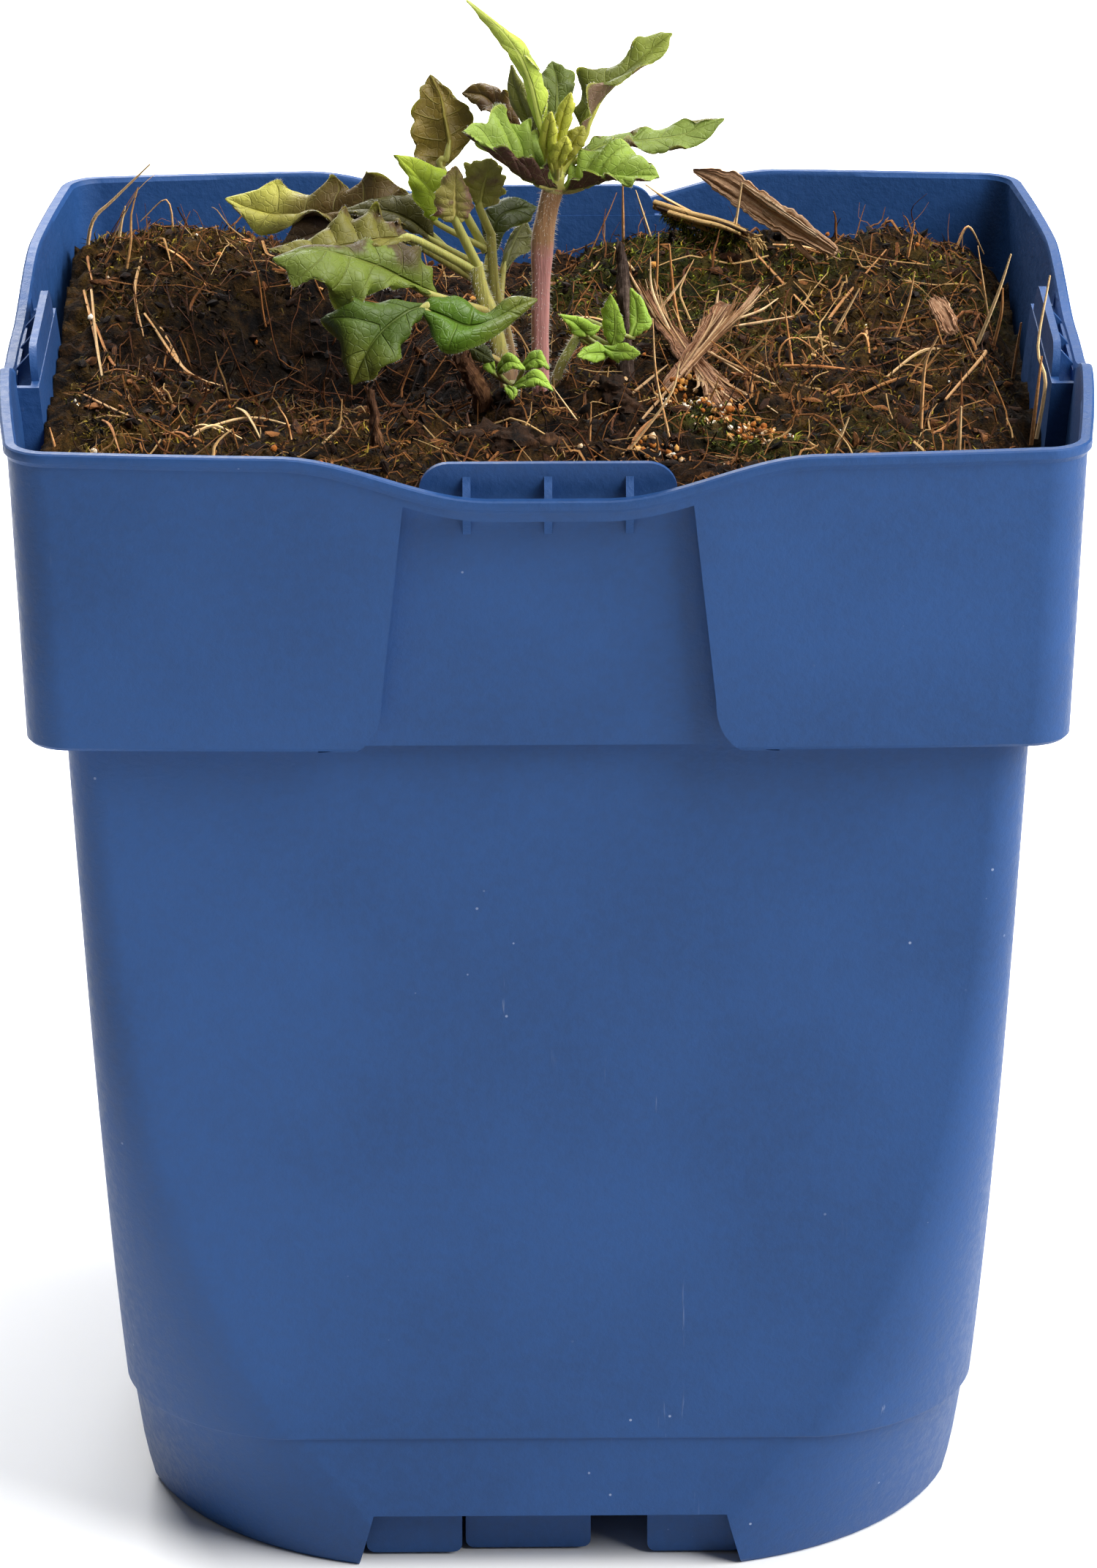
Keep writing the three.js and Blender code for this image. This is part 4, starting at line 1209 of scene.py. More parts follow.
    def base(self, solid: Mesh) -> Mesh:
        """Cuts the notches and drains and puts the feet under the floor.

        Args:
            solid: The pot so far, which is used up.

        Returns:
            The pot with its base.
        """
        (wide, narrow), high = self.notch_half, self.notch_height
        notch = [(-wide, -1), (wide, -1), (narrow, high), (-narrow, high)]
        solid = carved(solid, four_sides(self.side_solid(notch, 42, 48)), Cut.AWAY)
        feet = bmesh.new()
        for start, end, setback in self.feet:
            face = self.skirt_half[0] - setback
            size = Matrix.Diagonal((end - start, self.foot_depth, self.foot_height, 1))
            spot = Matrix.Translation(((start + end) / 2, self.foot_depth / 2 - face, self.foot_middle))
            block = bmesh.new()
            bmesh.ops.create_cube(block, size=1, matrix=spot @ size)
            low = [edge for edge in block.edges if edge.verts[0].co.z < 1]
            across = [edge for edge in low if abs(edge.verts[0].co.y - edge.verts[1].co.y) > 0.5]
            bmesh.ops.bevel(
                block,
                geom=across,
                offset=self.foot_round,
                segments=4,
                profile=0.5,
                affect="EDGES",
                material=-1,
            )
            added(feet, block)
            block.free()
        solid = carved(solid, four_sides(feet), Cut.ONTO)
        drains = bmesh.new()
        for index in range(9):
            angle, out = 2 * pi * index / 8, self.drain_out if index < 8 else 0
            spot = Matrix.Translation((out * cos(angle), out * sin(angle), self.floor[1]))
            wide = self.drain_radius if index < 8 else self.middle_drain_radius
            bmesh.ops.create_cone(
                drains, cap_ends=True, segments=32, radius1=wide, radius2=wide, depth=6, matrix=spot
            )
        return carved(solid, drains, Cut.AWAY)

    def build(self) -> None:
        """Makes the pot as one piece."""
        solid = self.base(self.panels(self.shell()))
        bmesh.ops.remove_doubles(solid, verts=solid.verts, dist=0.002)
        piece = piece_from(solid, "pot_moulding", self.plastic.material(), "pot_plastic", ["pot"], 28)
        evened = piece.modifiers.new("even_normals", "WEIGHTED_NORMAL")
        evened.keep_sharp = True
        evened.weight = 80


# Soil


@dataclass(frozen=True)
class Patch:
    """A round patch of moss or grit on the soil: its middle, radius and thickness of growth."""

    x: float
    y: float
    radius: float
    share: float = 1.0

    def strength(self, x: float, y: float) -> float:
        """How strongly the patch shows at a place."""
        return self.share * smooth_step(1.25 - hypot(x - self.x, y - self.y) / self.radius)


@dataclass
class SoilBed:
    """The peat that fills the pot, with its crumbs, moss and pale grit."""

    level: float = 120.4
    half: float = 53.0
    corner: float = 4.2
    cells: int = 252
    foot_half: float = 50.2
    foot_level: float = 97.8
    mounds: tuple[tuple[float, ...], ...] = (
        (-40, 36, 22, 4.8), (38, 40, 15, 4.0), (15, 40, 12, 4.0), (34, -6, 18, 1.4), (-32, -22, 14, 1.2),
        (2, -7, 8, 0.6), (-29, 14, 13, -8.5), (-17, 0, 12, -5), (-25, 48, 7, -2.4), (-6, 47, 12, -1.4),
        (-20, -37, 11, 1.2),
    )
    olive: tuple[Patch, ...] = (
        Patch(5, 33, 9), Patch(13, 38, 11), Patch(15, 26, 14, 0.75), Patch(24, 14, 9, 0.5),
        Patch(-2, 28, 6, 0.6), Patch(24, 24, 8, 0.5), Patch(18, -18, 7, 0.8), Patch(22, -26, 7),
        Patch(30, 36, 7, 0.7), Patch(46, 30, 9, 0.45), Patch(36, -24, 9, 0.35),
    )
    ochre: tuple[Patch, ...] = (
        Patch(-30, -24, 42, 0.45), Patch(36, 10, 48, 0.5), Patch(-44, 34, 24, 0.6), Patch(-47, 44, 9),
        Patch(-46, 22, 9, 0.8), Patch(-46, 2, 9, 0.8), Patch(-44, -22, 10, 0.9), Patch(-28, -28, 9, 0.5),
        Patch(22, 8, 12, 0.45), Patch(40, 20, 13, 0.6), Patch(38, -8, 12, 0.55), Patch(44, 42, 9, 0.6),
    )
    # Where shade is painted on the peat and its loose bits: the hollow at the left, two spots at the front
    # and the strip along the right wall.
    hollow: tuple[Patch, ...] = (
        Patch(-30, 14, 22), Patch(-18, 0, 17), Patch(8, -20, 6, 0.9), Patch(14, -27, 6, 0.9),
        Patch(54, -10, 12, 0.9), Patch(54, 16, 12, 0.9),
    )
    grit: tuple[Patch, ...] = (
        Patch(14.5, -8, 3.2), Patch(16, -12, 3.5), Patch(18.5, -16, 3.5), Patch(21, -20, 3.2),
        Patch(23.5, -25, 2.5), Patch(11.5, -30, 3.2, 0.8), Patch(-51, -10, 2.5, 0.8),
    )
    clods: tuple[Point, ...] = (
        (-6.6, -22.3, 2.6), (-3.6, -26.6, 2.2), (-4.3, -12.6, 1.4), (-2.4, -16.6, 1.5), (7.2, -9.9, 1.7),
        (5.6, -6.4, 1.3), (8.6, -13.4, 1.5), (0.4, -24.6, 1.7), (4.2, -25.4, 1.4),
    )
    crumb_kinds: int = 4
    crumbs_a_kind: int = 800
    olive_leaves: int = 9500
    ochre_leaves: int = 9000
    grit_grains: int = 420
    seed: int = 20

    def plain_height(self, x: float, y: float) -> float:
        """The height of the surface without its crumbs.

        Args:
            x: The place across the pot, in millimetres.
            y: The place from front to back, in millimetres.

        Returns:
            The height in millimetres.
        """
        height = self.level
        for mound_x, mound_y, radius, rise in self.mounds:
            height += rise * smooth_step(1 - hypot(x - mound_x, y - mound_y) / radius / 1.6)
        height += 0.55 * sin(0.41 * x + 1.3) * cos(0.37 * y + 0.4)
        height += 0.4 * sin(0.93 * x - 0.71 * y + 2.1) + 0.3 * cos(0.62 * x + 1.17 * y)
        edge = max(abs(x), abs(y)) - (self.half - 5.5)
        return height - blend(0.8, 4.2, smooth_step(0.5 + x / 90)) * smooth_step(edge / 5)

    def height(self, x: float, y: float) -> float:
        """The height of the surface with its crumbs and pits.

        Args:
            x: The place across the pot, in millimetres.
            y: The place from front to back, in millimetres.

        Returns:
            The height in millimetres.
        """
        spot = Vector((x, y, 0))
        height = self.plain_height(x, y)
        height += 1.15 * noise.fractal(spot * 0.16, 0.9, 2.1, 4)
        near, after = noise.voronoi(spot * 0.42 + Vector((3, 8, 1)))[0][:2]
        height += 1.3 * min(after - near, 0.6) - 0.4
        small = noise.voronoi(spot * 1.05)[0]
        height += 0.42 * min(small[1] - small[0], 0.6) - 0.12
        return height + 0.2 * noise.fractal(spot * 1.9, 0.8, 2.0, 2)

    @staticmethod
    def strongest(patches: Sequence[Patch], x: float, y: float) -> float:
        """How strongly any of the patches shows at a place, with a broken edge."""
        ragged = 0.75 + 0.6 * noise.noise(Vector((x * 0.3, y * 0.3, 5)))
        return min(max((patch.strength(x, y) for patch in patches), default=0.0) * ragged, 1.0)

    def shade(self, x: float, y: float) -> float:
        """How much of its lightness a loose bit keeps under the painted shade, which is little in the hollow
        and along the right wall.
        """
        return 1 - 0.85 * self.strongest(self.hollow, x, y)

    def surface(self) -> Mesh:
        """The crumbly top as a closed slab that narrows towards the foot of the collar.

        Returns:
            The slab, with its layers Moss and Ochre and the layer that holds the painted shade of the hollow,
            the right wall and the pits.
        """
        work = bmesh.new()
        moss = work.verts.layers.float.new("Moss")
        ochre = work.verts.layers.float.new("Ochre")
        hollow = work.verts.layers.float.new("Hollow")
        bmesh.ops.create_grid(work, x_segments=self.cells, y_segments=self.cells, size=self.half)
        for vertex in work.verts:
            x, y = vertex.co.x, vertex.co.y
            over = Vector([max(abs(place) - self.half + self.corner, 0) for place in (x, y)])
            if over.x and over.y and over.length > self.corner:
                over *= 1 - self.corner / over.length
                x -= over.x if x > 0 else -over.x
                y -= over.y if y > 0 else -over.y
            vertex.co = (x, y, self.height(x, y))
            vertex[moss] = self.strongest(self.olive, x, y)
            vertex[ochre] = self.strongest(self.ochre, x, y)
            # Painted shade: pits that lie below the plain surface are darkened, like the shaded patches.
            pit_shade = smooth_step((self.plain_height(x, y) - vertex.co.z - 0.1) / 1.2)
            vertex[hollow] = max(self.strongest(self.hollow, x, y), 0.7 * pit_shade)
        rim = [edge for edge in work.edges if edge.is_boundary]
        grown = bmesh.ops.extrude_edge_only(work, edges=rim)["geom"]
        for vertex in (g for g in grown if isinstance(g, bmesh.types.BMVert)):
            vertex.co.x *= self.foot_half / self.half
            vertex.co.y *= self.foot_half / self.half
            vertex.co.z = self.foot_level
        bmesh.ops.holes_fill(work, edges=[edge for edge in work.edges if edge.is_boundary])
        return work

    def root_ball(self, pot: Pot) -> Mesh:
        """The peat below the collar, which takes the shape of the pot's inside.

        Args:
            pot: The pot that the soil fills.

        Returns:
            The ball.
        """
        levels = (8.7, 12, 16, 24, 34, 46, 58, 70, 84, 99)
        ball = lofted([pot.body_ring(z, pot.wall + 0.3) for z in levels])
        for vertex in ball.verts:
            vertex.co += vertex.normal * 0.2 * (noise.noise(vertex.co * 0.4) - 0.5)
        return ball

    def crumbs(self, peat: Crumb) -> None:
        """Loose bits of bark and peat, most of them longer than wide.

        Args:
            peat: Their finish.
        """
        draw = Random(self.seed)
        for variant in range(self.crumb_kinds):
            stamp = Stamp(lump(variant, 1, 0.55))
            for _ in range(self.crumbs_a_kind):
                x, y = draw.uniform(-50, 50), draw.uniform(-50, 50)
                size = 0.2 + 0.75 * draw.random() ** 3
                spot = Vector((x, y, self.height(x, y) + size * 0.2))
                turn = Matrix.Rotation(draw.uniform(0, 6.28), 3, (draw.random(), draw.random(), 1))
                width, depth = draw.uniform(0.4, 0.9), draw.uniform(0.3, 0.6)
                shape = turn @ Matrix.Diagonal((size * 1.4, size * width, size * depth))
                # Painted shade: crumbs lose lightness in the hollow and along the right wall.
                tone = 0.95 * draw.random() ** 1.8 * self.shade(x, y)
                stamp.press(lambda point: spot + shape @ point, tone)
            piece_from(stamp.finished(), f"peat_crumbs_{variant}", peat.material(), "soil", crease=40)

    def heaps(self, skin: Crumb) -> None:
        """The clods round the foot of the stems.

        Args:
            skin: Their finish.
        """
        work = bmesh.new()
        for number, (x, y, radius) in enumerate(self.clods):
            clod = lump(number + 20, 4, 0.5)
            for vertex in clod.verts:
                vertex.co *= 1 + 0.16 * noise.fractal(vertex.co * 3.4, 0.8, 2.2, 4)
            size = Matrix.Diagonal((radius, radius * 0.85, radius * 0.8, 1))
            added(work, clod, Matrix.Translation((x, y, self.height(x, y) + radius * 0.2)) @ size)
            clod.free()
        tone = work.verts.layers.float.new("Tone")
        for vertex in work.verts:
            vertex[tone] = 0.32 + 0.3 * noise.noise(vertex.co * 0.5)
        piece_from(work, "peat_clods", skin.material(), "soil", crease=60)

    def moss_leaves(self, patches: Sequence[Patch], count: int, skin: Crumb, seed: int) -> None:
        """Short pointed moss leaves in tufts, each leaning its own way.

        Args:
            patches: Where they grow.
            count: How many are made.
            skin: Their finish, which also names the piece.
            seed: The seed of the random draws.
        """
        draw = Random(seed)
        stamp = Stamp(round_rod(3, 2, 0.08))
        pressed = 0
        for _ in range(count * 6):
            if pressed >= count:
                break
            x, y = draw.uniform(-51, 51), draw.uniform(-51, 51)
            if draw.random() > self.strongest(patches, x, y) ** 1.5:
                continue
            pressed += 1
            tuft = noise.noise(Vector((x, y, 2)) * 0.8)
            base = Vector((x, y, self.height(x, y) - 0.2))
            lean = strayed(draw, (-1, 1), (-1, 1), (0.3, 1.2)).normalized()
            long = draw.uniform(0.7, 1.9)
            bend = Vector((draw.uniform(-0.4, 0.4), draw.uniform(-0.4, 0.4), -0.25)) * long
            route = Route((base, base + lean * long * 0.5, base + lean * long + bend))
            tone = min(max(0.5 + 0.5 * tuft + draw.uniform(-0.25, 0.25), 0), 1)
            # Painted shade: moss leaves lose lightness in the hollow and along the right wall.
            stamp.strand(route, (0.13, 0.2, 0.05), tone * self.shade(x, y), 0.45)
        piece_from(stamp.finished(), skin.name, skin.material(), "soil", crease=80)

    def grains(self, skin: Crumb) -> None:
        """Pale grit in a cluster near the front, and a few grains elsewhere.

        Args:
            skin: Their finish.
        """
        draw = Random(self.seed + 5)
        stamp = Stamp(lump(9, 1, 0.35))
        pressed = 0
        while pressed < self.grit_grains:
            x, y = draw.uniform(-50, 50), draw.uniform(-50, 50)
            if draw.random() > max(self.strongest(self.grit, x, y), 0.003):
                continue
            pressed += 1
            size = blend(0.14, 0.46, draw.random() ** 1.6)
            spot = Vector((x, y, self.height(x, y) + size * 0.8 + draw.random() * 0.5))
            turn = Matrix.Rotation(draw.uniform(0, 6.28), 3, (draw.random(), 1, draw.random()))
            width, depth = draw.uniform(0.6, 1), draw.uniform(0.6, 1)
            shape = turn @ Matrix.Diagonal((size, size * width, size * depth))
            stamp.press(lambda point: spot + shape @ point, draw.random() ** 1.3)
        piece_from(stamp.finished(), "pale_grit", skin.material(), "soil", crease=60)

    def build(self, pot: Pot) -> None:
        """Makes the soil and all that grows and lies on it as grains.

        Args:
            pot: The pot that the soil fills.
        """
        peat = Peat().material()
        piece_from(self.surface(), "peat_surface", peat, "soil", ["soil"], 180)
        piece_from(self.root_ball(pot), "root_ball", peat, "soil", ["soil"], 60)
        self.crumbs(Crumb("peat_crumb", "120905", "3a2212", "8e5b30"))
        self.heaps(Crumb("peat_clod", "0c0603", "3a2413", "7a5230"))
        olive = Crumb("olive_moss", "14180a", "4a5212", "a0a032")
        ochre = Crumb("ochre_moss", "1a1205", "584614", "a8902e")
        self.moss_leaves(self.olive, self.olive_leaves, olive, 31)
        self.moss_leaves(self.ochre, self.ochre_leaves, ochre, 32)
        self.grains(Crumb("pale_grit", "a35c1c", "d39a4a", "f6edd8", 0.7))


# Straws and root fibres


@dataclass
class Straws:
    """The loose root fibres: some listed one by one, the rest strewn."""

    bed: SoilBed
    lying: tuple[tuple[Pair, ...], ...] = (
        ((-41.7, 57.0), (-36.6, 50.5)), ((-37.3, 45.7), (-29.4, 37.8)), ((-43.0, 33.3), (-37.5, 28.5)),
        ((-50.1, 24.7), (-48.7, 8.9), (-46.2, -10.6)), ((-49.2, 15.2), (-46.9, 6.6), (-43.4, -2.7)),
        ((-51.0, 25.9), (-48.8, 10.0)), ((-44.0, 19.5), (-39.1, 9.8), (-34.0, 1.2)),
        ((-42.3, 20.0), (-34.9, -2.3)), ((-51.1, 47.0), (-51.2, 37.6), (-50.0, 27.0)),
        ((-44.8, 31.6), (-45.3, 24.6), (-43.9, 14.4)), ((-49.3, -5.8), (-42.5, -20.6)),
        ((-36.6, -22.2), (-30.7, -20.7), (-23.8, -25.5)), ((-40.1, -22.6), (-35.1, -31.3)),
        ((-33.0, -14.5), (-29.7, -26.9)), ((-46.7, -17.9), (-44.3, -30.2)),
        ((-37.9, -26.8), (-31.8, -24.8)), ((-43.4, 1.1), (-39.3, -12.8)), ((-38.5, -19.1), (-33.6, -24.3)),
        ((-23.2, -8.3), (-19.9, -17.8)), ((29.7, 10.9), (32.7, 23.2), (38.8, 37.8)),
        ((24.7, -1.8), (29.4, -3.4), (35.5, -1.5)), ((36.6, -2.7), (41.3, 3.1), (46.5, 7.6)),
        ((42.3, -15.2), (47.4, 0.1), (47.4, 7.5)), ((22.6, 41.0), (31.0, 20.1)),
        ((39.2, -27.1), (43.3, -18.8)), ((18.2, 3.5), (24.5, -11.3)), ((29.8, -12.8), (34.7, -4.2)),
        ((26.1, 41.0), (32.6, 40.0)), ((35.7, 20.0), (35.1, 0.2)), ((0.9, 22.2), (10.1, 15.8)),
        ((7.2, -33.5), (13.0, -12.6)), ((26.3, 50.0), (31.1, 40.6)),
    )
    standing: tuple[tuple[Point, ...], ...] = (
        ((-51.6, 41.0, 122.5), (-50.7, 40.4, 127.2), (-48.3, 40.0, 129.8), (-44.0, 39.4, 134.1)),
        ((-48.2, 43.4, 122.0), (-47.7, 42.9, 125.8), (-47.1, 42.4, 128.4)),
        ((-43.3, 44.4, 121.0), (-41.9, 43.9, 124.8), (-42.5, 43.4, 128.9), (-45.5, 44.0, 126.2)),
        ((-29.7, -26.5, 119.0), (-29.8, -26.5, 122.9)),
        ((-26.1, -28.0, 119.0), (-26.9, -28.5, 123.9), (-27.8, -29.0, 125.9)),
        ((-25.1, -28.4, 120.0), (-21.3, -27.4, 123.3)), ((-51.2, -23.7, 119.0), (-52.0, -22.7, 121.9)),
        ((51.4, -16.2, 117.5), (52.4, -15.2, 127.0)),
        ((52.0, -15.6, 118.0), (52.9, -14.6, 123.9), (52.1, -13.6, 127.6), (53.3, -12.6, 135.1)),
        ((46.9, 10.8, 119.5), (49.4, 10.3, 126.4), (50.8, 9.8, 131.3)),
        ((37.5, 7.9, 120.5), (39.4, 7.4, 126.0), (40.2, 6.9, 130.2)),
        ((31.3, 14.1, 120.0), (34.6, 14.1, 126.3)),
        ((39.4, -20.7, 119.5), (39.5, -21.1, 124.4), (39.8, -21.4, 128.3), (41.0, -21.7, 131.1)),
        ((15.4, 13.4, 120.0), (14.3, 12.9, 125.4), (13.7, 12.4, 131.9)),
        ((9.3, 46.3, 122.0), (9.2, 45.3, 130.4)), ((21.5, 36.3, 126.0), (22.4, 35.3, 132.7)),
        ((12.6, 51.0, 122.0), (10.8, 51.6, 127.6)),
        ((19.2, 47.1, 125.0), (14.4, 47.6, 127.5), (11.8, 48.1, 129.2)),
        ((49.7, 26.1, 119.0), (48.3, 26.1, 127.8)),
        ((49.0, 12.5, 119.0), (50.0, 12.0, 123.8), (50.1, 11.5, 127.0)),
        ((12.7, 29.5, 122.0), (12.9, 28.5, 128.8)), ((11.3, 32.7, 122.0), (8.0, 31.7, 126.3)),
        ((43.0, -27.3, 119.0), (43.1, -28.3, 125.4)), ((40.8, 36.3, 122.0), (41.8, 35.3, 128.0)),
        ((30.2, -25.7, 120.0), (31.6, -25.7, 123.5)), ((26.9, 2.1, 120.0), (26.0, 2.1, 127.1)),
        ((25.5, -1.6, 120.5), (25.3, -1.2, 123.8), (27.2, -0.9, 125.0), (30.7, -0.6, 122.0)),
        ((35.2, 2.0, 120.5), (34.6, 2.5, 124.4), (32.5, 3.0, 122.5)),
        ((47.0, 44.9, 122.0), (48.5, 45.4, 124.8), (50.4, 45.9, 121.4)),
        ((51.3, 10.3, 117.0), (52.1, 10.3, 123.4)),
        ((7.5, -28.8, 119.5), (12.7, -27.8, 126.3), (13.9, -26.8, 130.0)),
        ((4.5, -24.6, 119.0), (4.7, -24.6, 124.8)), ((3.6, -16.2, 120.0), (0.6, -16.2, 124.4)),
        ((13.0, -22.0, 120.0), (11.6, -21.0, 126.6), (11.2, -20.0, 132.7)),
    )
    arch: float = 0.9
    reach: float = 49.0
    edge: float = 51.8
    highest: float = 134.0
    thin_straws: int = 620
    thick_straws: int = 110
    root_hairs: int = 2300
    seed: int = 77

    def rested(self, spots: Sequence[Pair]) -> Route:
        """A route over the soil whose middle arches and whose ends touch down.

        Args:
            spots: The places it passes.

        Returns:
            The route.
        """
        if len(spots) == 2:
            (ax, ay), (bx, by) = spots
            spots = (spots[0], ((ax + bx) / 2, (ay + by) / 2), spots[1])
        points = []
        for index, (x, y) in enumerate(spots):
            lift = self.arch if 0 < index < len(spots) - 1 else 0.15
            points.append((x, y, self.bed.height(x, y) + lift))
        return Route(points)

    def strewn(self, stamp: Stamp, count: int, long: Pair, thick: Pair, seed: int) -> None:
        """Presses fibres at random places and headings, most lying and a few standing.

        Args:
            stamp: The stamp that presses them.
            count: How many are made.
            long: The shortest and the longest.
            thick: The least and the greatest radius.
            seed: The seed of its random draws.
        """
        draw = Random(seed)
        for _ in range(count):
            x, y = draw.uniform(-self.reach, self.reach), draw.uniform(-self.reach, self.reach)
            length = blend(*long, draw.random() ** 1.7)
            heading = draw.uniform(0, 2 * pi)
            radius = blend(*thick, draw.random() ** 2)
            rises = draw.random() < 0.3
            wander = draw.uniform(-0.14, 0.14) * length
            spots = []
            for share in (0.0, 0.33, 0.66, 1.0):
                run = (share - 0.5) * length * (0.4 if rises else 1.0)
                off = wander * sin(pi * share) + draw.uniform(-0.3, 0.3)
                px = x + run * cos(heading) - off * sin(heading)
                py = y + run * sin(heading) + off * cos(heading)
                px, py = (min(max(place, -self.edge), self.edge) for place in (px, py))
                high = self.bed.height(px, py) + draw.uniform(-0.2, 1.1)
                high = high + share * length * 0.5 if rises else high
                spots.append((px, py, min(high, self.highest)))
            # Painted shade: fibres lose lightness in the hollow and along the right wall.
            tone = draw.random() * self.bed.shade(x, y)
            stamp.strand(Route(spots), (radius, radius * 1.1, radius * 0.6), tone)

    def build(self) -> None:
        """Makes the fibres as three pieces: the placed straws, pale ones and fine dark ones."""
        draw = Random(self.seed)
        straw = Wood("straw", "884a20", "c98a50", "f4cf96")
        placed = Stamp(round_rod(6, 12, 0.7))
        for spots in self.lying:
            placed.strand(self.rested(spots), (0.14, 0.22, 0.12), blend(0.3, 1, draw.random()))
        for spots in self.standing:
            thick = blend(0.13, 0.24, draw.random())
            placed.strand(Route(spots), (thick, thick, thick * 0.6), blend(0.45, 1, draw.random()))
        piece_from(placed.finished(), "placed_straws", straw.material(), "soil", crease=60)
        pale = Stamp(round_rod(5, 6, 0.7))
        self.strewn(pale, self.thin_straws, (3, 15), (0.045, 0.13), self.seed + 1)
        self.strewn(pale, self.thick_straws, (4, 13), (0.13, 0.2), self.seed + 3)
        pale_skin = Wood("strewn_straw", "5e3012", "b5753a", "f2c684")
        piece_from(pale.finished(), "strewn_straws", pale_skin.material(), "soil", crease=60)
        dark = Stamp(round_rod(3, 4, 0.6))
        self.strewn(dark, self.root_hairs, (2, 8), (0.05, 0.13), self.seed + 2)
        dark_skin = Wood("root_hair", "1c0d05", "5c3214", "c07e3e")
        piece_from(dark.finished(), "root_hairs", dark_skin.material(), "soil", crease=60)


# Plant


@dataclass(frozen=True)
class Leaf:
    """One leaf, drawn by its midrib and its two edges, in millimetres.

    The edges leave out the base and the tip, which they share with the midrib. Seen with the upper side
    up and the tip ahead, left is on the left.
    """

    name: str
    root: Point
    rib: tuple[Point, ...]
    left: tuple[Point, ...]
    right: tuple[Point, ...]
    skin: LeafSkin
    stalk: float = 0.4
    teeth: float = 4.5
    cut: float = 0.1
    arch: float = 0.12
    puff: float = 0.08
    ripple: float = 0.12
    fray: float = 0.16
    thickness: float = 0.32

    @property
    def rows(self) -> int:
        """How many rows the blade has, more on a longer leaf."""
        length = sum(dist(start, end) for start, end in zip(self.rib, self.rib[1:]))
        return min(max(int(length * 5), 36), 84)

    def edge(self, side: float) -> Route:
        """The line of one edge from base to tip, the left one where side is negative."""
        inner = self.left if side < 0 else self.right
        return Route((self.rib[0], *inner, self.rib[-1]))

    def lift(self, share: float) -> Vector:
        """The way the upper side looks at a share of the blade.

        Args:
            share: The share of the blade, from its base.

        Returns:
            The way up, of length 1.
        """
        place = min(max(share, 0.08), 0.92)
        midrib = Route(self.rib)
        heading = midrib.at(place + 0.03) - midrib.at(place - 0.03)
        return (self.edge(1).at(place) - self.edge(-1).at(place)).cross(heading).normalized()

    def vein(self, share: float, out: float) -> float:
        """Counts the side veins, each of which leans towards the tip and ends in a tooth."""
        return self.teeth * (share - 0.14 * out) + 0.5

    def spot(self, share: float, side: float) -> Vector:
        """A point on the middle of the blade, with side from -1 to 1 across it.

        Args:
            share: The share of the blade, from its base.
            side: From -1 at the left edge to 1 at the right.

        Returns:
            The point.
        """
        out = abs(side)
        middle = Route(self.rib).at(share)
        margin = self.edge(side).at(share)
        wide = (margin - middle).length
        count = self.vein(share, out) + (0.25 if side > 0 else 0.0)
        tooth = abs(sin(pi * count)) ** 0.8
        torn = 0.5 + noise.noise(Vector((share * 8, side * 2, self.rib[0][0])))
        reach = out * (1 - (self.cut * (1 - tooth) + self.fray * torn) * out**5)
        swell = self.arch * 4 * out * (1 - out) * wide
        puff = self.puff * wide * (abs(cos(pi * count)) ** 0.7 - 0.5) * sin(pi * min(out * 1.05, 1.0))
        phase = self.teeth * 1.3 * share * pi + side + wide + self.rib[0][0]
        wave = self.ripple * wide * out**3 * (sin(phase) + 1.4 * noise.noise(Vector((share * 7, side, 8))))
        fade = smooth_step(min(share, 1 - share) * 12)
        return middle.lerp(margin, reach) + self.lift(share) * (swell + (puff + wave) * fade)

    def blade(self) -> Mesh:
        """The blade as a closed skin, thickest along its midrib, with the layers its finish reads.

        Returns:
            The blade.
        """
        last = self.rows
        steps = 9 if last > 60 else 7
        sides = [step / steps for step in range(-steps, steps + 1)]
        midrib, left, right = Route(self.rib), self.edge(-1), self.edge(1)
        grid = [[self.spot(row / last, side) for side in sides] for row in range(last + 1)]
        rings = []
        for row, spots in enumerate(grid):
            share = row / last
            half = max((right.at(share) - left.at(share)).length / 2, 0.05)
            before, after = grid[max(row - 1, 0)], grid[min(row + 1, last)]
            ring, back = [], []
            for index, (side, spot) in enumerate(zip(sides, spots)):
                across = spots[min(index + 1, 2 * steps)] - spots[max(index - 1, 0)]
                upper = across.cross(after[index] - before[index])
                upper = upper.normalized() if upper.length > 1e-5 else self.lift(share)
                body = self.thickness * sqrt(max(1 - side**4, 0)) / 2 + 0.025
                keel = 0.5 * self.stalk * (1 - 0.85 * share) * exp(-((side * half / 0.3) ** 2))
                ring.append(spot + upper * body)
                back.append(spot - upper * (body + keel))
            rings.append(ring + back[-2:0:-1])
        work = lofted(rings)
        names = ("Along", "Across", "Vein", "Reach", "Under")
        layers = {name: work.verts.layers.float.new(name) for name in names}
        row_layer = work.verts.layers.int["Row"]
        column_layer = work.verts.layers.int["Column"]
        for vertex in work.verts:
            share, column = vertex[row_layer] / last, vertex[column_layer]
            side = sides[column] if column <= 2 * steps else sides[4 * steps - column]
            wide = (self.edge(side).at(share) - midrib.at(share)).length
            vertex[layers["Along"]] = share
            vertex[layers["Across"]] = side
            vertex[layers["Vein"]] = self.vein(share, abs(side)) + (0.25 if side > 0 else 0.0)
            vertex[layers["Reach"]] = abs(side) * wide
            vertex[layers["Under"]] = 0.0 if column <= 2 * steps else 1.0
        return work

    def leafstalk(self) -> Route:
        """The line of the stalk, which runs on under the blade.

        Returns:
            The line.
        """
        midrib = Route(self.rib)
        under = self.lift(0.1) * 0.12
        return Route((self.root, midrib.at(0), midrib.at(0.12) - under, midrib.at(0.3) - under))


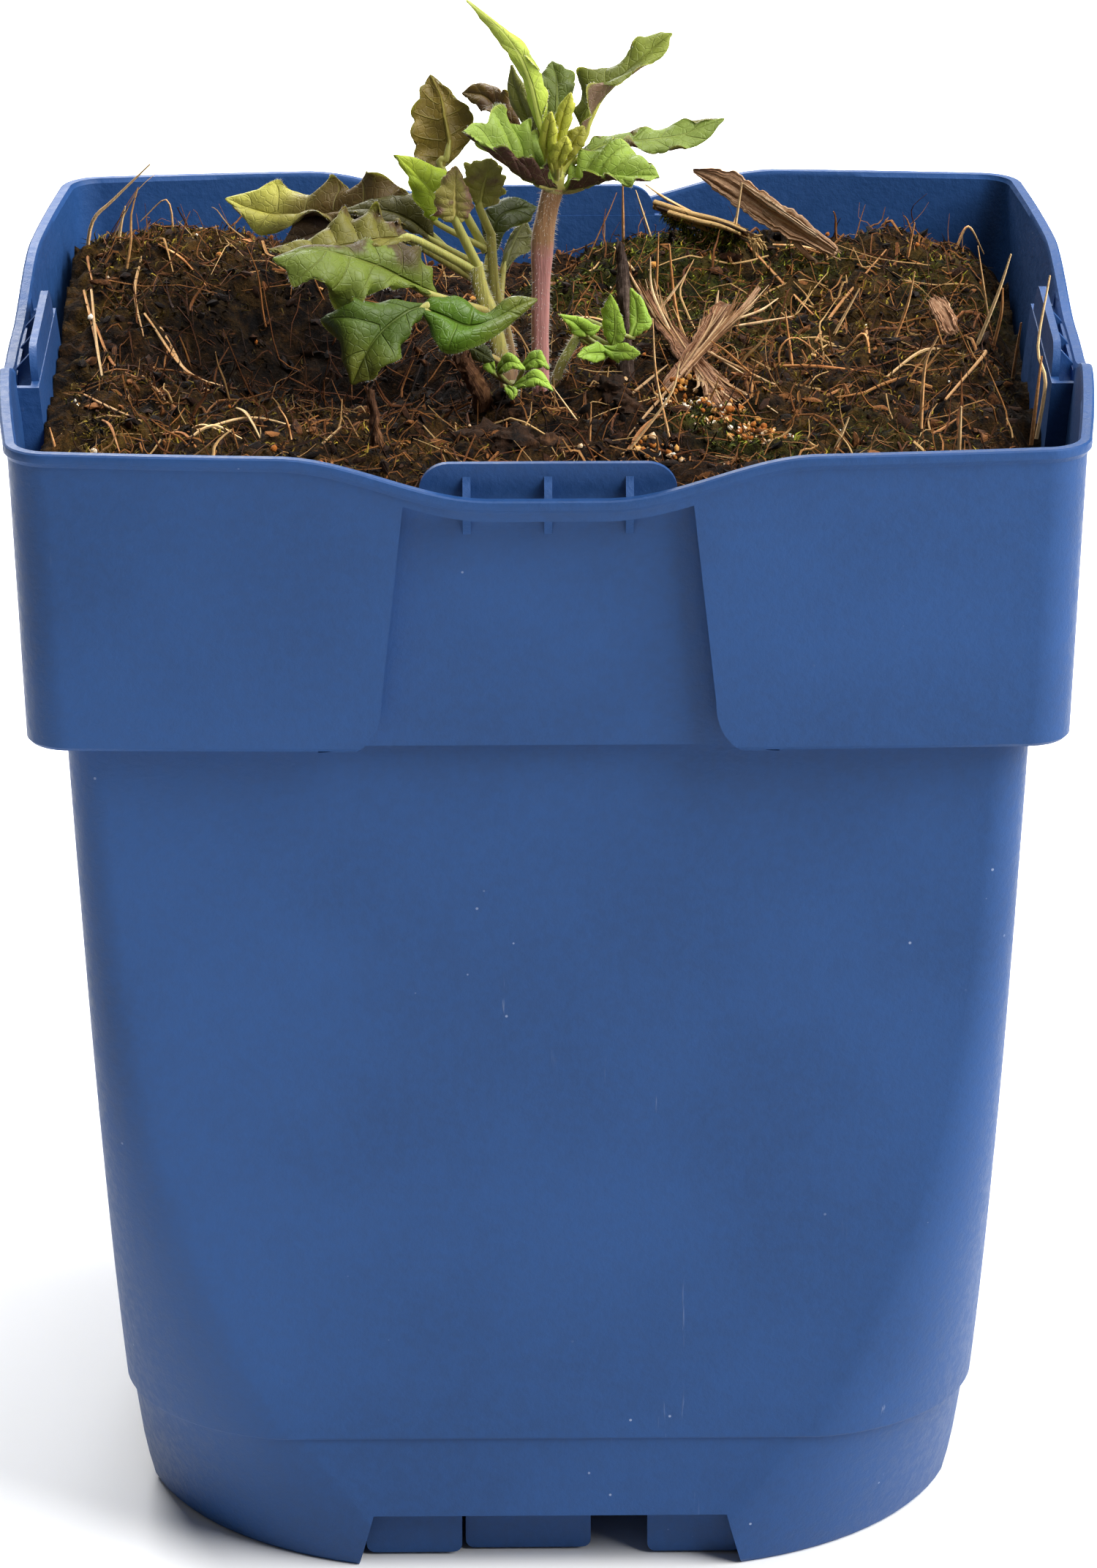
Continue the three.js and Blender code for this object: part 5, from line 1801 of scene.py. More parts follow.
@dataclass(frozen=True)
class Stem:
    """One stem through points, in millimetres, with its radii shared out along it."""

    path: tuple[Point, ...]
    radii: tuple[float, ...]
    skin: StemSkin
    square: float = 0.07

    def radius(self, share: float) -> float:
        """The radius at a share of the stem.

        Args:
            share: The share of the stem, from its foot.

        Returns:
            The radius in millimetres.
        """
        last = len(self.radii) - 1
        index = min(int(share * last), last - 1)
        return blend(self.radii[index], self.radii[index + 1], smooth_step(share * last - index))

    def mesh(self) -> Mesh:
        """A softly square stem.

        Returns:
            The stem.
        """
        route = Route(self.path)
        rows, around = 72, 28
        rings = []
        for row in range(rows + 1):
            share = row / rows
            _, across, lift = route.frame(share)
            radius = self.radius(share)
            centre = route.at(share)
            ring = []
            for step in range(around):
                angle = 2 * pi * step / around
                swell = 1 + self.square * cos(4 * angle) + 0.03 * noise.noise(centre * 0.8)
                out = across * cos(angle) + lift * sin(angle)
                ring.append(centre + out * radius * swell)
            rings.append(ring)
        return lofted(rings)


@dataclass
class Shoot:
    """One leafy shoot: stems, leaves on their stalks and the hairs on both."""

    name: str
    slot: str
    stems: Sequence[Stem]
    leaves: Sequence[Leaf]
    stalk_skin: StemSkin
    seed: int = 5
    stem_hair: Pair = (0.2, 0.5)
    edge_hair: Pair = (0.1, 0.28)
    stem_hairs_a_mm: int = 26
    edge_hairs_a_mm: int = 20

    def add_hairs(self) -> None:
        """Fine hairs round the leaf edges and up the stems."""
        draw = Random(self.seed)
        stamp = Stamp(round_rod(3, 1, 0.25))

        def hair(foot: Vector, way: Vector, long: float) -> None:
            """Sets one hair."""
            tip = foot + way.normalized() * long
            stamp.strand(Route((foot, foot.lerp(tip, 0.5), tip)), (0.016, 0.011), 0.5)

        for stem in self.stems:
            route = Route(stem.path)
            length = (Vector(stem.path[-1]) - Vector(stem.path[0])).length
            for _ in range(int(length * self.stem_hairs_a_mm)):
                share = draw.uniform(0.25, 1)
                _, across, lift = route.frame(share)
                angle = draw.uniform(0, 2 * pi)
                out = across * cos(angle) + lift * sin(angle)
                droop = Vector((draw.uniform(-0.3, 0.3), draw.uniform(-0.3, 0.3), -0.3))
                skin = route.at(share) + out * stem.radius(share) * 0.95
                hair(skin, out + droop, draw.uniform(*self.stem_hair))
        for leaf in self.leaves:
            length = (Vector(leaf.rib[-1]) - Vector(leaf.rib[0])).length
            for _ in range(int(length * self.edge_hairs_a_mm)):
                share, side = draw.uniform(0.03, 0.99), draw.choice((-1, 1))
                edge, inner = leaf.spot(share, side), leaf.spot(share, side * 0.85)
                stray = strayed(draw, (-0.5, 0.5), (-0.5, 0.5), (-0.5, 0.5))
                hair(edge, (edge - inner).normalized() + stray, draw.uniform(*self.edge_hair))
        piece_from(stamp.finished(), f"{self.name}_hairs", HAIR.material(), self.slot, crease=80)

    def build(self) -> None:
        """Makes the shoot's pieces."""
        for number, stem in enumerate(self.stems):
            title, finish = f"{self.name}_stem_{number}", stem.skin.material()
            piece_from(stem.mesh(), title, finish, self.slot, [self.name])
        stalks = Stamp(round_rod(10, 14))
        for leaf in self.leaves:
            radii = [leaf.stalk * share for share in (1.1, 1, 0.85, 0.45)]
            stalks.strand(leaf.leafstalk(), radii, 0.5, 0.8)
            title, finish = f"{self.name}_{leaf.name}", leaf.skin.material()
            piece_from(leaf.blade(), title, finish, self.slot, [self.name], 60)
        title, finish = f"{self.name}_leafstalks", self.stalk_skin.material()
        piece_from(stalks.finished(), title, finish, self.slot, [self.name], 70)
        self.add_hairs()


HAIR = Down()

YOUNG = LeafSkin("young_leaf", "b3c54e", "98a646", tip="bfca5a", flushed=0.04, vein="e0e482", rim="d9d75f")
FRESH = LeafSkin("fresh_leaf", "859b3e", "452d25", flushed=0.06, vein="a7b65a", rim="a3ac52")
FRESH_RIGHT = LeafSkin("fresh_leaf_right", "8aa040", "492f28", flushed=0.06, vein="aaba5d", rim="a4ae4f")
BROAD = LeafSkin("broad_leaf", "798a3b", "544029", flushed=0.12, vein="9faa52", rim="887346")
# Painted shade: a darker green for the back leaf that lies in shade.
SHADE = LeafSkin("shade_leaf", "48551b", "4c4420", flushed=0.2, vein="747e32", rim="676c2e")
SPOON = LeafSkin("spoon_leaf", "636a26", "6f5744", tip="838e35", flushed=0.18, vein="a1a74a", rim="b1b046")
BACK = LeafSkin("back_leaf", "586521", "58601f", flushed=0.05, vein="87923c", rim="879230")
BROWN = LeafSkin(
    "brown_leaf", "604b1a", "634918", flush="412814", flushed=0.55, vein="968330", rim="8a6f2e",
)
SLIP = LeafSkin("slip_leaf", "67682d", "625d2b", flushed=0.2, vein="959756", rim="898b46")
BUD = LeafSkin("bud_leaf", "b9bc46", "b0ac43", tip="c6c64c", flushed=0.1, vein="eae36b", rim="dcce52")
BUD_DARK = LeafSkin("dark_bud_leaf", "918e32", "837c32", flushed=0.2, vein="b3b350", rim="a79f43")
HUNG = LeafSkin(
    "hung_leaf", "9f954d", "9d9048", flush="693e46", flushed=0.6, spread=(0.1, 1.2), vein="d5c370",
    veined=0.7, rim="c0af5a",
)
HUNG_BACK = LeafSkin(
    "hung_back_leaf", "8f8d45", "838342", flush="5f4042", flushed=0.5, spread=(0.2, 1.3), vein="bdbb62",
    rim="a6a84d",
)
FAR = LeafSkin(
    "far_leaf", "706b2c", "6a612c", flush="44271f", flushed=0.6, flush_side=1, vein="a5974b", veined=0.6,
    rim="817533",
)
LOWER = LeafSkin(
    "lower_leaf", "66742a", "667028", flush="4a3a26", flushed=0.7, spread=(0.1, 1.2), flush_side=1,
    vein="84893a", rim="7c7c34",
)
LOBED = LeafSkin(
    "lobed_leaf", "485d19", "5c5f24", tip="6a6e27", flushed=0.12, vein="667332", veined=0.35, rim="666b2e",
)
GLOSSY = LeafSkin(
    "glossy_leaf", "506e1e", "676b29", tip="6f722e", flushed=0.04, vein="74833b", veined=0.3, rim="617435",
    roughness=0.33,
)
# Painted shade: a darker green for the leaf that lies in shade under the others.
UNDER_SHADE = LeafSkin("deep_leaf", "3a4018", "3a3818", flushed=0.3, vein="5c6030", rim="50542a")
LIME = LeafSkin("lime_leaf", "a2b935", "95a235", tip="abbb39", flushed=0.04, vein="adbb4d", rim="abb942")
UPRIGHT = LeafSkin(
    "upright_leaf", "606121", "736125", flush="583a1b", flushed=0.4, vein="979036", rim="684c1b",
)
LONG = LeafSkin(
    "long_leaf", "624e29", "5b4628", tip="cbc75d", flush="463125", flushed=0.35, vein="b6af55", veined=0.45,
    rim="b6ad55",
)
PLUM = LeafSkin("plum_leaf", "42311d", "42301d", flush="34211b", flushed=0.5, vein="685a31", rim="645131")
CURLED = LeafSkin(
    "curled_leaf", "545026", "473822", flush="33221a", flushed=0.4, vein="747036", rim="6a6030",
)
DARK = LeafSkin(
    "dark_leaf", "353d0f", "404614", flushed=0.05, vein="5a631d", veined=0.3, rim="545d1d", roughness=0.44,
)
GREY = LeafSkin("grey_leaf", "606434", "606034", flushed=0.1, vein="7d8049", rim="80824e")
SEEDLING = LeafSkin(
    "seedling_leaf", "8dad3e", "84953e", tip="9ebe45", flushed=0.03, vein="aac05e", rim="a6bb56",
)

PURPLE_STEM = StemSkin("purple_stem", "b07a73", "9b734d", 135.4, 138.2)
OLIVE_STEM = StemSkin("olive_stem", "a28062", "aaa456", 121, 129)
GREEN_STEM = StemSkin("green_stem", "746739", "868e41", 119, 126)
MAIN_STALK = StemSkin("main_stalk", "8d764a", "aaaa48", 141, 146)
LEFT_STALK = StemSkin("left_stalk", "98854a", "a5a351", 126, 136)


def small_leaf(
    name: str,
    root: Point,
    rib: tuple[Point, ...],
    left: tuple[Point, ...],
    right: tuple[Point, ...],
    cut: float = 0.42,
    stalk: float = 0.3,
) -> Leaf:
    """One of the small leaves near the soil, with a few blunt teeth.

    Args:
        name: The leaf's name.
        root: Where its stalk leaves the stem.
        rib: Its midrib from base to tip.
        left: Its left edge between base and tip.
        right: Its right edge between base and tip.
        cut: How deep its teeth are, as a share of its half width.
        stalk: The radius of its stalk.

    Returns:
        The leaf.
    """
    return Leaf(name, root, rib, left, right, SEEDLING, stalk=stalk, teeth=2.5, cut=cut, fray=0.24)


def main_shoot() -> Shoot:
    """The tallest shoot, with its crown of young leaves.

    Returns:
        The shoot.
    """
    stems = [
        Stem(
            (
                (-0.7, -6.6, 112), (-0.4, -6.4, 118.8), (-0.5, -6.2, 126), (-0.4, -6, 131.7),
                (-0.2, -6, 137.3), (0.3, -6, 140.5), (1, -6.2, 143.4),
            ),
            (1.05, 1, 1, 1.05, 1.3, 1.15, 1.2), PURPLE_STEM,
        ),
        Stem(((0.9, -6.2, 142.9), (1.2, -6.3, 144.4), (1.3, -6.5, 145.8)), (1.18, 1.05, 0.5), MAIN_STALK),
    ]
    leaves = [
        Leaf(
            "front_left", (1.1, -6.4, 142.8),
            (
                (1.5, -6.6, 143.2), (-0.2, -7.8, 143.8), (-2.3, -9, 145), (-4.3, -10.4, 147),
                (-8.6, -12.6, 151),
            ),
            ((-0.6, -9.8, 147), (-3, -10.9, 148.2), (-4.8, -11.7, 149.3), (-6.9, -12.4, 150.2)),
            (
                (-0.6, -6.3, 147.2), (-2.2, -6.4, 150.5), (-3.6, -7.2, 152.2), (-5.2, -8.4, 152.9),
                (-7.2, -10.2, 152.2),
            ),
            FRESH, stalk=0.5, teeth=6, cut=0.3, arch=0.1, puff=0.12, ripple=0.24, fray=0.3,
        ),
        Leaf(
            "front_right", (1.3, -6.4, 142.8),
            ((2, -6.6, 143), (3.7, -7.8, 143.5), (5.4, -9, 144.4), (7.4, -10, 145.2), (12.1, -11, 145.6)),
            (
                (3, -5.6, 145.6), (4.7, -5.2, 147.7), (8.4, -6.4, 149), (10, -7.6, 148.6),
                (11.2, -9.2, 147.6),
            ),
            (
                (3.2, -8.6, 144.9), (4.9, -10, 145.8), (6.8, -11.4, 145.9), (8.4, -12.6, 145.6),
                (10.6, -12.8, 145),
            ),
            FRESH_RIGHT, stalk=0.5, teeth=6, cut=0.3, arch=0.1, puff=0.12, ripple=0.26, fray=0.34,
        ),
        Leaf(
            "right", (1.5, -5.8, 143.8),
            (
                (3.1, -5.6, 145.8), (6.7, -4.6, 147.3), (10.6, -3.6, 147.5), (14.6, -2.6, 147.9),
                (19.2, -1.8, 149.5),
            ),
            ((6.1, -2.8, 148.2), (10.4, -1.8, 148.3), (14.6, -1.2, 149.3)),
            ((6.8, -6.4, 146.8), (10.8, -5.4, 146.9), (15.7, -4, 146.3)),
            BROAD, teeth=5, cut=0.46, arch=0.08, ripple=0.45, fray=0.36,
        ),
        Leaf(
            "back_right", (1.5, -5.6, 144),
            ((3.6, -5, 146.4), (5.3, -3, 146.5), (7.5, 0, 145.1), (9.8, 3, 143.9)),
            ((5.3, -2, 147.4), (7.7, 1, 146.2)), ((4.8, -4, 145.4), (7.2, -1, 144.1)),
            SHADE, teeth=4, cut=0.16,
        ),
        Leaf(
            "tall", (0.9, -6.3, 144.6),
            (
                (0.3, -6.8, 147.6), (-0.6, -7.4, 151.2), (-1.5, -8.4, 155.4), (-2.8, -9.2, 158.8),
                (-4.9, -9.8, 161.6), (-8.2, -10, 164.5),
            ),
            ((-1.5, -6.9, 151.9), (-2.5, -7.6, 155.4), (-4.1, -8.6, 158.2), (-5.8, -9.5, 161)),
            ((0.5, -6.6, 151.8), (0.2, -7, 155.1), (-1.2, -8.2, 158.5), (-4, -9.2, 161.1)),
            YOUNG, teeth=5, cut=0.46, arch=0.1, fray=0.34, ripple=0.4,
        ),
        Leaf(
            "spoon", (1.7, -6, 144.8),
            (
                (4.1, -5.6, 148.5), (4.9, -5.6, 151), (6.7, -5, 153.4), (8.8, -4.2, 155.1),
                (11.3, -3.2, 157.2), (13.6, -2.6, 159),
            ),
            ((3.4, -3.4, 152.2), (4.8, -2.8, 155.4), (7.9, -2.4, 156.3), (10.6, -1.8, 159)),
            ((4.1, -7.6, 152), (6.5, -7, 154.6), (9.1, -5.8, 155.1), (12.4, -4.4, 156.6)),
            SPOON, teeth=5, cut=0.3, arch=0.1, stalk=0.55, fray=0.3, ripple=0.34,
        ),
        Leaf(
            "back", (1.2, -5.6, 144.8),
            ((1.2, -5.2, 148.1), (1.4, -3.4, 151), (1.4, -0.6, 153.3), (0.9, 1.2, 155.1)),
            ((-0.1, -2.6, 150.8), (-0.6, 0, 153.8)), ((3.3, -3, 151.4), (3.3, -0.4, 154.2)),
            BACK, teeth=5, cut=0.24, ripple=0.24,
        ),
        Leaf(
            "brown", (0.4, -5.4, 144),
            ((-2, -3.6, 148), (-4.2, -1, 149.6), (-6.2, 1.8, 151.1), (-8.7, 4, 150.9)),
            ((-3.9, -2.4, 149), (-7, 0.4, 149.9)), ((-3.4, 0.4, 151.6), (-6.5, 3.4, 152.7)),
            BROWN, teeth=4, cut=0.4, fray=0.3, ripple=0.3,
        ),
        Leaf(
            "slip", (0.6, -5.8, 144.6),
            ((-0.2, -5.6, 147.2), (-1.5, -4.6, 150.1), (-2.9, -3.4, 153.4), (-3.4, -2.6, 155.7)),
            ((-2.9, -4, 150.4), (-3.9, -3, 152.9)), ((-0.5, -5.4, 150.7), (-2, -4.2, 153.7)),
            SLIP, teeth=3, cut=0.24,
        ),
        Leaf(
            "bud_tall", (1.1, -6.6, 144.4),
            ((1, -7.6, 146.7), (1.5, -8.2, 149.8), (2.2, -8.8, 152.5), (2.8, -9.2, 154.3)),
            ((0.6, -7.6, 149.7), (1.4, -8.2, 152.5)), ((2.6, -7.6, 149.5), (3.3, -8.4, 152.6)),
            BUD, stalk=0.3, teeth=5, arch=0.3, cut=0.4,
        ),
        Leaf(
            "bud_left", (0.9, -6.8, 144.4),
            ((0.6, -7.8, 146.1), (0.4, -9, 148.8), (0.6, -9.8, 151), (0.7, -10.2, 152.5)),
            ((-0.5, -8.4, 148.5), (-0.2, -9.2, 151)), ((1.4, -9.6, 148.6), (1.4, -10, 150.9)),
            BUD, stalk=0.3, teeth=4, arch=0.3, cut=0.4,
        ),
        Leaf(
            "bud_right", (1.5, -6.6, 144.2),
            ((1.7, -7.6, 145.7), (2.6, -8, 147.8), (3.5, -8, 149.3), (4.2, -7.8, 150.3)),
            ((1.8, -7.4, 147.7), (2.5, -7.4, 149.8)), ((3.5, -8.4, 147.3), (4.4, -8.2, 148.5)),
            BUD_DARK, stalk=0.3, teeth=4, arch=0.2, cut=0.4,
        ),
        Leaf(
            "bud_low", (1.3, -6.9, 144.2),
            ((1.4, -8.2, 145.7), (1.5, -9.6, 147.5), (2, -10.4, 149), (2.3, -10.8, 150)),
            ((0.4, -9.2, 147.4), (0.9, -10, 148.9)), ((2.4, -9.4, 147.3), (3, -10.2, 148.7)),
            BUD, stalk=0.3, teeth=4, arch=0.3, cut=0.4,
        ),
    ]
    return Shoot("main_shoot", "main_leaves", stems, leaves, MAIN_STALK, 5)


def left_shoot_front() -> Shoot:
    """The front shoot on the left, with two long hanging leaves and the pair on its low branch.

    Returns:
        The shoot.
    """
    stems = [
        Stem(
            (
                (-3.7, -4.6, 112), (-4, -5.2, 121.7), (-4.8, -5.8, 125.1), (-5.8, -6.2, 129.3),
                (-6.8, -6.6, 132.3), (-7.3, -7, 135),
            ),
            (1, 0.95, 0.95, 0.95, 0.85, 0.8), OLIVE_STEM,
        ),
        Stem(((-5.4, -6.1, 127.2), (-8.9, -11, 129.6), (-13.4, -15.6, 131.9)), (0.6, 0.5, 0.5), LEFT_STALK),
    ]
    leaves = [
        Leaf(
            "crenate_hung", (-7.1, -7, 134.8),
            ((-9.3, -8, 139.8), (-9.5, -8.2, 141.9), (-9.5, -8.4, 144), (-9.4, -8.6, 146.3)),
            ((-12, -8.2, 140.6), (-12.1, -8.6, 143), (-10.8, -8.8, 145.3)),
            ((-7.7, -7.8, 140.3), (-7.3, -7.8, 142.3), (-8.2, -8.2, 144.6)),
            HUNG, stalk=0.55, teeth=7, cut=0.24, arch=0.1, puff=0.14, fray=0.3, ripple=0.22,
        ),
        Leaf(
            "far_reaching_front", (-6.9, -6.9, 134),
            (
                (-13.8, -9.4, 138.5), (-17.4, -11, 138.8), (-21.2, -12.6, 138.6), (-25.4, -13.8, 138.5),
                (-29, -14.8, 138.8),
            ),
            ((-17.2, -12.8, 138.3), (-21.2, -14.2, 138), (-25.6, -15, 138.1)),
            ((-16.1, -8.2, 140.7), (-20.6, -8.6, 141.3), (-24.3, -11.6, 139.7)),
            FAR, stalk=0.5, teeth=7, cut=0.3, puff=0.2, ripple=0.34, fray=0.3,
        ),
        Leaf(
            "broad_front", (-5.4, -6.2, 129.4),
            (
                (-11.4, -11, 132.6), (-14.6, -12.4, 134.6), (-17.6, -13.8, 136.6), (-21.1, -15.4, 138.3),
                (-24.5, -17, 139.4), (-28.5, -18.6, 138.9),
            ),
            ((-13.8, -13.6, 134), (-17.3, -15.8, 134.3), (-21.1, -18, 133), (-25.8, -19.6, 135.6)),
            ((-12.8, -9.6, 137), (-16.6, -10.6, 138.8), (-20.9, -12.6, 138.9), (-25, -15.4, 139.3)),
            LOWER, stalk=0.5, teeth=7, cut=0.22, arch=0.2, puff=0.1, fray=0.3, ripple=0.28,
        ),
        Leaf(
            "lobed", (-13.4, -15.4, 131.6),
            (
                (-12.1, -16.2, 133.1), (-14.6, -17.2, 132.5), (-17.3, -18.6, 130.8), (-18.9, -19.6, 128.6),
                (-20.3, -20, 125.6),
            ),
            ((-13.2, -17.8, 131.5), (-14.3, -19.6, 129.2), (-16.6, -20.8, 126.7)),
            ((-17.3, -15.2, 133.3), (-23.8, -17, 133.2), (-22.1, -19.4, 128.7)),
            LOBED, stalk=0.5, teeth=4, cut=0.4, arch=0.2, ripple=0.26, fray=0.26,
        ),
        Leaf(
            "glossy", (-13.4, -15.4, 131.6),
            (
                (-13.2, -16.3, 132.8), (-10.9, -17, 132.1), (-8.1, -16.8, 130.9), (-5.4, -16, 131.3),
                (-3, -15, 132.6), (-0.8, -14.4, 133.2),
            ),
            ((-11.8, -14.6, 133.6), (-9.5, -13.8, 133.6), (-6.6, -14.8, 131.6), (-3.7, -14, 133.4)),
            ((-12.4, -18, 131.4), (-11.4, -19.4, 128.5), (-6.9, -18.2, 129.4), (-3, -15.8, 131.4)),
            GLOSSY, stalk=0.45, teeth=2.5, cut=0.05, arch=0.3, puff=0.03,
        ),
        Leaf(
            "shade_under", (-5, -7.4, 124.6),
            ((-8.5, -12, 127.8), (-7.4, -12.6, 127.3), (-6.3, -13, 126.7), (-5.4, -13.2, 126.2)),
            ((-7.5, -12, 128.1), (-6, -12.4, 127.5)), ((-8.2, -12.6, 126.5), (-6.8, -13, 125.8)),
            UNDER_SHADE, stalk=0.35, teeth=3,
        ),
    ]
    return Shoot("left_shoot_front", "left_leaves", stems, leaves, LEFT_STALK, 6)


def left_shoot_back() -> Shoot:
    """The back shoot on the left, with the leaf that reaches farthest.

    Returns:
        The shoot.
    """
    stems = [
        Stem(
            (
                (-3.6, -0.9, 112), (-3.5, -1, 120.5), (-3.7, -1.4, 123.3), (-4.3, -1.7, 126.8),
                (-5.3, -1.8, 131), (-5.7, -2, 137),
            ),
            (0.75, 0.7, 0.65, 0.65, 0.6, 0.55), OLIVE_STEM,
        ),
    ]
    leaves = [
        Leaf(
            "crenate_back", (-5.7, -2, 137),
            ((-6.9, -4.6, 140.6), (-6.6, -5.2, 142.6), (-6.2, -5.8, 144.3), (-5.6, -6.4, 146.5)),
            ((-8.2, -5, 142.2), (-9, -5.6, 144.4), (-8.1, -6, 146.3)),
            ((-4.7, -4, 140.9), (-3.9, -5, 143.1), (-4.2, -5.8, 145.3)),
            HUNG_BACK, stalk=0.5, teeth=6, cut=0.34,
        ),
        Leaf(
            "lime", (-6.3, -2, 135.4),
            ((-11.6, -3, 138.6), (-11.8, -3.8, 141.4), (-13.4, -4.8, 143.9), (-15.9, -5.6, 146.7)),
            ((-13.2, -4.2, 139.9), (-14.4, -5.2, 143.1), (-15.2, -5.6, 145.4)),
            ((-10.8, -2.2, 141.1), (-10.3, -2.6, 144), (-12.9, -4, 145.9)),
            LIME, teeth=5, cut=0.1, arch=0.16, ripple=0.2,
        ),
        Leaf(
            "upright", (-6.2, -1.9, 135),
            (
                (-10.9, 1.6, 143.2), (-10.1, 2.4, 145.6), (-10.6, 3.6, 148.5), (-11, 4.6, 150.5),
                (-12.1, 5.4, 152.7),
            ),
            ((-8.1, 2.2, 145.6), (-7.1, 3, 148.6), (-9.5, 4.2, 150.9)),
            ((-14.2, 2, 144.4), (-14.7, 3, 148), (-13.4, 4.6, 151.3)),
            UPRIGHT, stalk=0.5, teeth=6, cut=0.18, arch=0.14, puff=0.05, ripple=0.14,
        ),
        Leaf(
            "long_back", (-5.4, -1.8, 130),
            (
                (-13.9, -1, 138.3), (-18.3, 1.6, 138), (-22.7, 3.8, 137.6), (-27.1, 5.6, 136.8),
                (-31.1, 7, 137.3), (-34.4, 7.8, 138.4),
            ),
            ((-14.4, -2.4, 137.3), (-19.1, -0.4, 137.6), (-23.8, 1.6, 137.4), (-30.2, 4.8, 135)),
            ((-14.4, 2.4, 142), (-18.7, 5, 141), (-23, 7, 140), (-28.4, 8.8, 139.9)),
            LONG, stalk=0.5, teeth=7, cut=0.2, arch=0.14, ripple=0.34, fray=0.3,
        ),
        Leaf(
            "plum_under", (-5.5, -1.8, 130.6),
            ((-14.4, -1, 136), (-19.1, 0.6, 136.2), (-23.9, 2.2, 136.1), (-28.5, 3, 134.2)),
            ((-16, -2.4, 135.2), (-23, 0, 135.1)), ((-17.6, 2.4, 137.7), (-25.5, 4.2, 137.7)),
            PLUM, stalk=0.45, teeth=6, cut=0.16,
        ),
        Leaf(
            "curled_back", (-6, -1.9, 133),
            ((-11.9, -2, 136.3), (-14.7, -1.4, 138.5), (-17.8, -0.4, 139.2), (-21.8, 0.8, 138.8)),
            ((-13.9, -3, 137.2), (-18.3, -2, 138.5)), ((-12, 0.4, 141.1), (-17.8, 1.4, 140.2)),
            CURLED, stalk=0.4, teeth=6, ripple=0.12, cut=0.3, fray=0.16,
        ),
        Leaf(
            "dark_back", (-5.8, -1.6, 131.4),
            (
                (-6, -0.6, 133.4), (-5.6, 0.2, 135.9), (-4.7, 1.4, 137.9), (-3.1, 2.6, 138.4),
                (-0.8, 3.6, 138.4),
            ),
            ((-6.5, 1, 135.4), (-6.7, 2.2, 138.3), (-3.4, 3.6, 139.6)),
            ((-4.9, -0.4, 135), (-3.6, 0.4, 136.7), (-1.6, 2, 137.2)),
            DARK, stalk=0.5, teeth=2.5, cut=0.03, arch=0.2,
        ),
        Leaf(
            "grey_back", (-4.9, -0.6, 128),
            ((-4.6, 1, 131.3), (-4, 2, 133.5), (-3.1, 3.2, 135.2), (-1.9, 4.2, 137)),
            ((-3, 1.8, 133.2), (-0.9, 3.4, 134.4)), ((-4.4, 2.6, 133.7), (-3.4, 3.6, 135.8)),
            GREY, stalk=0.5, teeth=3,
        ),
    ]
    return Shoot("left_shoot_back", "left_leaves", stems, leaves, LEFT_STALK, 7)


def crown_shoot() -> Shoot:
    """The small fresh leaves at the foot of the stems.

    Returns:
        The shoot.
    """
    stems = [
        Stem(((-3.4, -9.4, 112), (-3.4, -9.8, 119), (-3.3, -10.4, 123)), (0.7, 0.65, 0.55), GREEN_STEM),
    ]
    leaves = [
        small_leaf(
            "left", (-3.6, -10.6, 122.6),
            ((-4.9, -12.4, 124.5), (-4.3, -13.2, 125.7), (-3.4, -14, 126.2), (-2.1, -14.8, 125.6)),
            ((-5.1, -12.6, 125.5), (-3.7, -13, 127.1)), ((-4.3, -14.2, 125), (-3.2, -14.8, 125.6)),
        ),
        small_leaf(
            "curl", (-3.7, -10.4, 122.6),
            ((-5.4, -11.6, 124.2), (-5.9, -12, 125.3), (-6.3, -12.4, 126.1), (-6.5, -13, 125.8)),
            ((-6.5, -12.4, 124.8), (-6.8, -12.8, 125.7)), ((-5.4, -11.6, 125.7), (-6, -12, 126.6)),
        ),
        Leaf(
            "back", (-3.1, -10.6, 122.6),
            ((-2.4, -12.4, 124.8), (-1.7, -13, 125.8), (-0.7, -13.6, 126.4), (0.4, -14.2, 125.5)),
            ((-2.3, -12.2, 125.8), (-0.7, -12.6, 127.4)), ((-1.4, -13.8, 125.3), (-0.3, -14.2, 125.6)),
            SEEDLING, stalk=0.3, teeth=5, cut=0.24, ripple=0.24,
        ),
        small_leaf(
            "front", (-3.3, -11, 122.2),
            ((-3.5, -15.4, 123.7), (-2.3, -16, 124.5), (-0.9, -16.6, 125.2), (0.8, -17.4, 124)),
            ((-2.6, -15.4, 124.9), (-0.6, -15.8, 126.1)), ((-2.2, -16.8, 124.1), (-0.6, -17.4, 124.5)),
        ),
        small_leaf(
            "small", (-3.4, -11.2, 122.2),
            ((-4.3, -15.6, 124.1), (-3.9, -16.2, 123.9), (-3.4, -16.8, 123.7), (-3.5, -17, 123)),
            ((-3.7, -16, 124.2), (-2.9, -16.6, 123.9)), ((-4.3, -16.4, 123.7), (-4, -16.8, 123.2)),
            stalk=0.25,
        ),
    ]
    return Shoot("crown_shoot", "young_leaves", stems, leaves, GREEN_STEM, 8)


